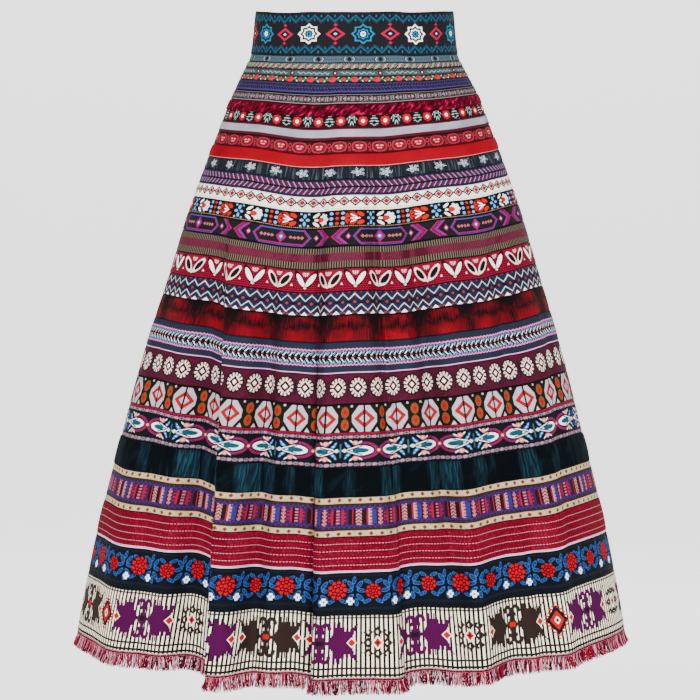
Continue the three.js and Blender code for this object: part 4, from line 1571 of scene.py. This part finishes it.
def fringe_tree(material):
    """Hangs tapering threads along the loose line of a mesh, leaning in tufts."""
    tree = bpy.data.node_groups.new("fringe_threads", "GeometryNodeTree")
    sockets = tree.interface
    sockets.new_socket("Geometry", in_out="INPUT", socket_type="NodeSocketGeometry")
    sockets.new_socket("Threads", in_out="INPUT", socket_type="NodeSocketInt")
    for name in ("Length", "Thickness", "Flare", "Lean"):
        sockets.new_socket(name, in_out="INPUT", socket_type="NodeSocketFloat")
    sockets.new_socket("Geometry", in_out="OUTPUT", socket_type="NodeSocketGeometry")
    g = Nodes(tree)
    given = g.add("NodeGroupInput").outputs
    length = Field(g, given["Length"])
    faces = g.add("GeometryNodeInputMeshEdgeNeighbors").outputs["Face Count"]
    loose = (Field(g, faces) < 0.5).socket
    line = g.add("GeometryNodeMeshToCurve", inputs={
        "Mesh": given["Geometry"], "Selection": loose,
    }).outputs["Curve"]
    strip = g.add("GeometryNodeDeleteGeometry", {"domain": "EDGE"}, {
        "Geometry": given["Geometry"], "Selection": loose,
    }).outputs["Geometry"]
    spots = g.add("GeometryNodeCurveToPoints", {"mode": "COUNT"}, {
        "Curve": line, "Count": given["Threads"],
    }).outputs
    # One thread, bent outwards and thinner at its end
    bend = g.add("GeometryNodeCurveQuadraticBezier", inputs={
        "Resolution": 3,
        "Start": (0, 0, 0),
        "Middle": g.join(0, 0, length * -0.55),
        "End": g.join(0, length * -1 * Field(g, given["Flare"]), length * -1),
    }).outputs["Curve"]
    taper = 1 - Field(g, g.add("GeometryNodeSplineParameter").outputs["Factor"]) * 0.5
    bend = g.add("GeometryNodeSetCurveRadius", inputs={"Curve": bend, "Radius": taper}).outputs["Curve"]
    section = g.add("GeometryNodeCurvePrimitiveCircle", inputs={
        "Resolution": 3, "Radius": given["Thickness"],
    }).outputs["Curve"]
    thread_mesh = g.add("GeometryNodeCurveToMesh", inputs={
        "Curve": bend, "Profile Curve": section, "Fill Caps": True,
    }).outputs["Mesh"]
    # Tufts: neighbours lean alike, and each thread a little its own way
    turn = g.add("FunctionNodeAlignRotationToVector", {"axis": "X", "pivot_axis": "Z"}, {
        "Vector": spots["Tangent"],
    }).outputs["Rotation"]
    place = g.add("GeometryNodeInputPosition").outputs[0]
    tuft = g.add("TexNoise", inputs={"Vector": place, "Scale": 150.0, "Detail": 1.0}).outputs
    parts = g.add("SeparateXYZ", inputs={"Vector": tuft["Color"]}).outputs
    lean = Field(g, given["Lean"])
    own = g.add("FunctionNodeRandomValue", {"data_type": "FLOAT_VECTOR"}, {
        "Min": (-0.13, -0.2, -0.3), "Max": (0.13, 0.2, 0.3), "Seed": FRINGE_SEED,
    }).outputs["Value"]
    own = g.add("SeparateXYZ", inputs={"Vector": own}).outputs
    tilt = g.join(
        (Field(g, parts["X"]) - 0.5) * lean + Field(g, own["X"]),
        (Field(g, parts["Y"]) - 0.5) * lean * 2 + Field(g, own["Y"]),
        Field(g, own["Z"]),
    )
    tilt = g.add("FunctionNodeEulerToRotation", inputs={0: tilt}).outputs[0]
    turned = g.add("FunctionNodeRotateRotation", {"rotation_space": "LOCAL"}, {
        "Rotation": turn, "Rotate By": tilt,
    }).outputs["Rotation"]
    size = g.add("FunctionNodeRandomValue", {"data_type": "FLOAT_VECTOR"}, {
        "Min": (0.8, 0.5, 0.8), "Max": (1.2, 1.4, 1.08), "Seed": FRINGE_SEED + 1,
    }).outputs["Value"]
    hung = g.add("GeometryNodeInstanceOnPoints", inputs={
        "Points": spots["Points"], "Instance": thread_mesh, "Rotation": turned, "Scale": size,
    }).outputs["Instances"]
    pick = g.add("FunctionNodeRandomValue", {"data_type": "FLOAT"}, {"Seed": FRINGE_SEED + 2}).outputs[1]
    tone = Field(g, pick) * 0.85 + Field(g, parts["Z"]) * 0.7 - 0.25
    hung = g.add("GeometryNodeStoreNamedAttribute", {"data_type": "FLOAT", "domain": "INSTANCE"}, {
        "Geometry": hung, "Name": TONE_NAME, "Value": tone,
    }).outputs["Geometry"]
    real = g.add("GeometryNodeRealizeInstances", inputs={"Geometry": hung}).outputs["Geometry"]
    real = g.add("GeometryNodeSetMaterial", inputs={
        "Geometry": real, "Material": material,
    }).outputs["Geometry"]
    both = g.add("GeometryNodeJoinGeometry")
    g.feed(both.inputs[0], real)
    g.feed(both.inputs[0], strip)
    end = g.add("NodeGroupOutput")
    g.feed(end.inputs[0], both.outputs[0])
    return tree


def plain_mesh(obj, name, tree, values):
    """Runs a node tree on an object and keeps the result as a plain mesh object."""
    modifier = obj.modifiers.new(tree.name, "NODES")
    modifier.node_group = tree
    for item in tree.interface.items_tree:
        if item.in_out == "INPUT" and item.name in values:
            modifier[item.identifier] = values[item.name]
    evaluated = obj.evaluated_get(bpy.context.evaluated_depsgraph_get())
    mesh = bpy.data.meshes.new_from_object(evaluated)
    mesh.name = name
    bpy.data.objects.remove(obj)
    made = bpy.data.objects.new(name, mesh)
    bpy.context.scene.collection.objects.link(made)
    return made


def make_fringe(settings):
    """The fringe: a narrow strip under the hem ribbon, and threads hanging from its lower edge."""
    top = CLOTH_LENGTH + SEAM_GAP / 2
    count = FRINGE_COLUMNS
    middle = top + FRINGE_STRIP / 2
    azimuth = ring_azimuths(middle, count)[None, :]
    across_strip = (0.0, FRINGE_EDGE, FRINGE_STRIP / 2, FRINGE_STRIP - FRINGE_EDGE, FRINGE_STRIP)
    down = top + np.array(across_strip)[:, None]
    bulge = np.array((0.35, 0.6, 0.75, 0.6, 0.35))[:, None]
    outward = level_outward(azimuth, down)
    points = cloth_point(azimuth, down)
    outer = points + outward * (bulge + FRINGE_OUT)[..., None]
    inner = points - outward * (bulge - FRINGE_OUT)[..., None]
    ring = np.concatenate((outer, inner[::-1]))
    rows = len(ring)
    line = points[-1] + outward[-1] * FRINGE_OUT + np.array((0, 0, 0.4))
    faces = ring_faces(rows, count)
    mesh = bpy.data.meshes.new("fringe_base")
    everything = np.concatenate((ring.reshape(-1, 3), line)) * MM
    first = rows * count
    loose = [(first + i, first + (i + 1) % count) for i in range(count)]
    mesh.from_pydata(everything.tolist(), loose, faces.tolist())
    mesh.materials.append(fringe_strip_material())
    mesh.polygons.foreach_set("use_smooth", np.ones(len(mesh.polygons), bool))
    base = bpy.data.objects.new("fringe_base", mesh)
    bpy.context.scene.collection.objects.link(base)
    across = np.abs(np.linspace(-FRINGE_STRIP, FRINGE_STRIP, rows))
    lay_strip(base, strip_lengths(azimuth[0], middle), across, count, rows)
    obj = plain_mesh(base, "hem_fringe_threads", fringe_tree(fringe_material()), {
        "Threads": settings.fringe_threads,
        "Length": settings.fringe_length,
        "Thickness": settings.thread_thickness / 2,
        "Flare": 0.2,
        "Lean": 0.28,
    })
    dress_node(obj, "hem_fringe")
    return obj


class SkirtSettings(PropertyGroup):
    """Sizes and colours of the skirt's finish."""

    column_spacing: FloatProperty(
        name="Column spacing", description="Distance between mesh columns around a ribbon",
        default=0.0025, min=0.0015, subtype="DISTANCE",
    )
    row_spacing: FloatProperty(
        name="Row spacing", description="Distance between mesh rows across a ribbon",
        default=0.0026, min=0.0015, subtype="DISTANCE",
    )
    seam_roll: FloatProperty(
        name="Seam roll", description="How far a ribbon's sewn edge turns in",
        default=0.0007, min=0, subtype="DISTANCE",
    )
    fringe_threads: IntProperty(
        name="Fringe threads", description="How many threads hang at the hem",
        default=7600, min=100, max=8000,
    )
    fringe_length: FloatProperty(
        name="Fringe length", description="Length of the longest threads, about",
        default=0.0152, min=0.004, subtype="DISTANCE",
    )
    thread_thickness: FloatProperty(
        name="Thread thickness", description="Thickness of a fringe thread at its root",
        default=0.00072, min=0.0002, subtype="DISTANCE",
    )
    floor_drop: FloatProperty(
        name="Floor", description="How far the floor lies below the waist",
        default=1.03, min=0.8, subtype="DISTANCE",
    )
    floor_colour: FloatVectorProperty(
        name="Floor colour", description="Colour of the pale floor and backdrop",
        default=(0.95, 0.95, 0.95), size=3, min=0, max=1, subtype="COLOR",
    )


def make_ribbons(context, names):
    for name in names:
        declare_sheet(make_ribbon(name, context.scene.ribbon_skirt))


class SKIRT_OT_waist_ribbons(Operator):
    """Makes the waistband and the four narrow ribbons sewn under it"""

    bl_idname = "skirt.waist_ribbons"
    bl_label = "Waistband and narrow ribbons"

    def execute(self, context):
        settings = context.scene.ribbon_skirt
        band, *narrow = [make_ribbon(name, settings) for name in WAIST_RIBBONS]
        declare_sheet(band, narrow)
        return {"FINISHED"}


class SKIRT_OT_hip_ribbons(Operator):
    """Makes the ribbons from the violet one to the gathered blue one"""

    bl_idname = "skirt.hip_ribbons"
    bl_label = "Hip ribbons"

    def execute(self, context):
        make_ribbons(context, HIP_RIBBONS)
        return {"FINISHED"}


class SKIRT_OT_middle_ribbons(Operator):
    """Makes the ribbons from the slanted bars to the ikat cloth"""

    bl_idname = "skirt.middle_ribbons"
    bl_label = "Middle ribbons"

    def execute(self, context):
        make_ribbons(context, MIDDLE_RIBBONS)
        return {"FINISHED"}


class SKIRT_OT_lower_ribbons(Operator):
    """Makes the wide ribbons from the denim braid to the roses"""

    bl_idname = "skirt.lower_ribbons"
    bl_label = "Lower ribbons"

    def execute(self, context):
        make_ribbons(context, LOWER_RIBBONS)
        return {"FINISHED"}


class SKIRT_OT_hem(Operator):
    """Makes the wide hem ribbon and the fringe under it"""

    bl_idname = "skirt.hem"
    bl_label = "Hem and fringe"

    def execute(self, context):
        settings = context.scene.ribbon_skirt
        hem = make_ribbon(NAMES[-1], settings)
        declare_sheet(hem, [make_fringe(settings)])
        return {"FINISHED"}


class SKIRT_OT_studio(Operator):
    """Makes the floor, the backdrop, the lights and the camera"""

    bl_idname = "skirt.studio"
    bl_label = "Studio"

    def execute(self, context):
        make_studio(context, context.scene.ribbon_skirt)
        return {"FINISHED"}


class SKIRT_PT_skirt(Panel):
    """The skirt's sizes, and a button for each group of pieces"""

    bl_label = "Ribbon skirt"
    bl_idname = "SKIRT_PT_skirt"
    bl_space_type = "VIEW_3D"
    bl_region_type = "UI"
    bl_category = "Skirt"

    def draw(self, context):
        settings = context.scene.ribbon_skirt
        for name in settings.bl_rna.properties.keys():
            if name not in ("rna_type", "name"):
                self.layout.prop(settings, name)
        for operator in OPERATORS:
            self.layout.operator(operator.bl_idname)


# Name, place, what it points at, size and power
LIGHTS = (
    ("key_light", (-1.1, -2.9, 0.9), (0, 0, -0.45), (1.5, 1.5), 108),
    ("fill_light", (1.5, -2.7, 0.3), (0, 0, -0.45), (1.6, 2.0), 62),
    ("top_light", (0.2, -0.6, 2.2), (0, 0, -0.4), (2.4, 2.0), 24),
    ("back_light", (0.8, 2.4, 0.9), (0, 0, -0.45), (2.0, 2.0), 30),
)
WORLD_STRENGTH = 0.6
FLOOR_GLOW = 1.1


def area_light(name, place, aim, size, power):
    data = bpy.data.lights.new(name, "AREA")
    data.shape = "RECTANGLE"
    data.size = size[0]
    data.size_y = size[1]
    data.energy = power
    light = bpy.data.objects.new(name, data)
    light.location = place
    direction = np.array(aim) - np.array(place)
    flat = math.hypot(direction[0], direction[1])
    turn = math.atan2(direction[0], direction[1])
    light.rotation_euler = (math.pi / 2 - math.atan2(-direction[2], flat), 0, -turn)
    bpy.context.scene.collection.objects.link(light)
    return light


def make_studio(context, settings):
    floor_z = -settings.floor_drop
    half = 7.0
    bend = 1.6
    back = 3.2
    profile = [(-half, 0.0)]
    for step in range(13):
        turn = math.pi / 2 * step / 12
        profile.append((back + bend * math.sin(turn), bend * (1 - math.cos(turn))))
    profile.append((back + bend, 6.0))
    points = []
    for x in (-half, half):
        points += [(x, y, floor_z + z) for y, z in profile]
    count = len(profile)
    faces = np.array([(i, count + i, count + i + 1, i + 1) for i in range(count - 1)])
    material = bpy.data.materials.new("pale_floor")
    material.use_nodes = True
    shader = material.node_tree.nodes["Principled BSDF"]
    shader.inputs["Base Color"].default_value = (*settings.floor_colour, 1)
    shader.inputs["Roughness"].default_value = 0.9
    shader.inputs["Emission Color"].default_value = (*settings.floor_colour, 1)
    shader.inputs["Emission Strength"].default_value = FLOOR_GLOW
    floor = mesh_object("floor", np.array(points) / MM, faces, (material,))
    for light in LIGHTS:
        area_light(*light)
    world = bpy.data.worlds.new("studio")
    world.use_nodes = True
    world.node_tree.nodes["Background"].inputs["Color"].default_value = (1, 1, 1, 1)
    world.node_tree.nodes["Background"].inputs["Strength"].default_value = WORLD_STRENGTH
    context.scene.world = world
    data = bpy.data.cameras.new("camera")
    data.lens = CAMERA_LENS
    data.sensor_width = 36
    camera = bpy.data.objects.new("camera", data)
    camera.location = CAMERA_PLACE
    camera.rotation_euler = (math.radians(CAMERA_PITCH), 0, 0)
    context.scene.collection.objects.link(camera)
    context.scene.camera = camera


OPERATORS = (
    SKIRT_OT_waist_ribbons,
    SKIRT_OT_hip_ribbons,
    SKIRT_OT_middle_ribbons,
    SKIRT_OT_lower_ribbons,
    SKIRT_OT_hem,
    SKIRT_OT_studio,
)
CLASSES = (SkirtSettings, *OPERATORS, SKIRT_PT_skirt)


def register():
    for cls in CLASSES:
        bpy.utils.register_class(cls)
    bpy.types.Scene.ribbon_skirt = PointerProperty(type=SkirtSettings)


def unregister():
    del bpy.types.Scene.ribbon_skirt
    for cls in reversed(CLASSES):
        bpy.utils.unregister_class(cls)


def main():
    register()
    bpy.ops.skirt.waist_ribbons()
    bpy.ops.skirt.hip_ribbons()
    bpy.ops.skirt.middle_ribbons()
    bpy.ops.skirt.lower_ribbons()
    bpy.ops.skirt.hem()
    bpy.ops.skirt.studio()


if __name__ == "__main__":
    main()
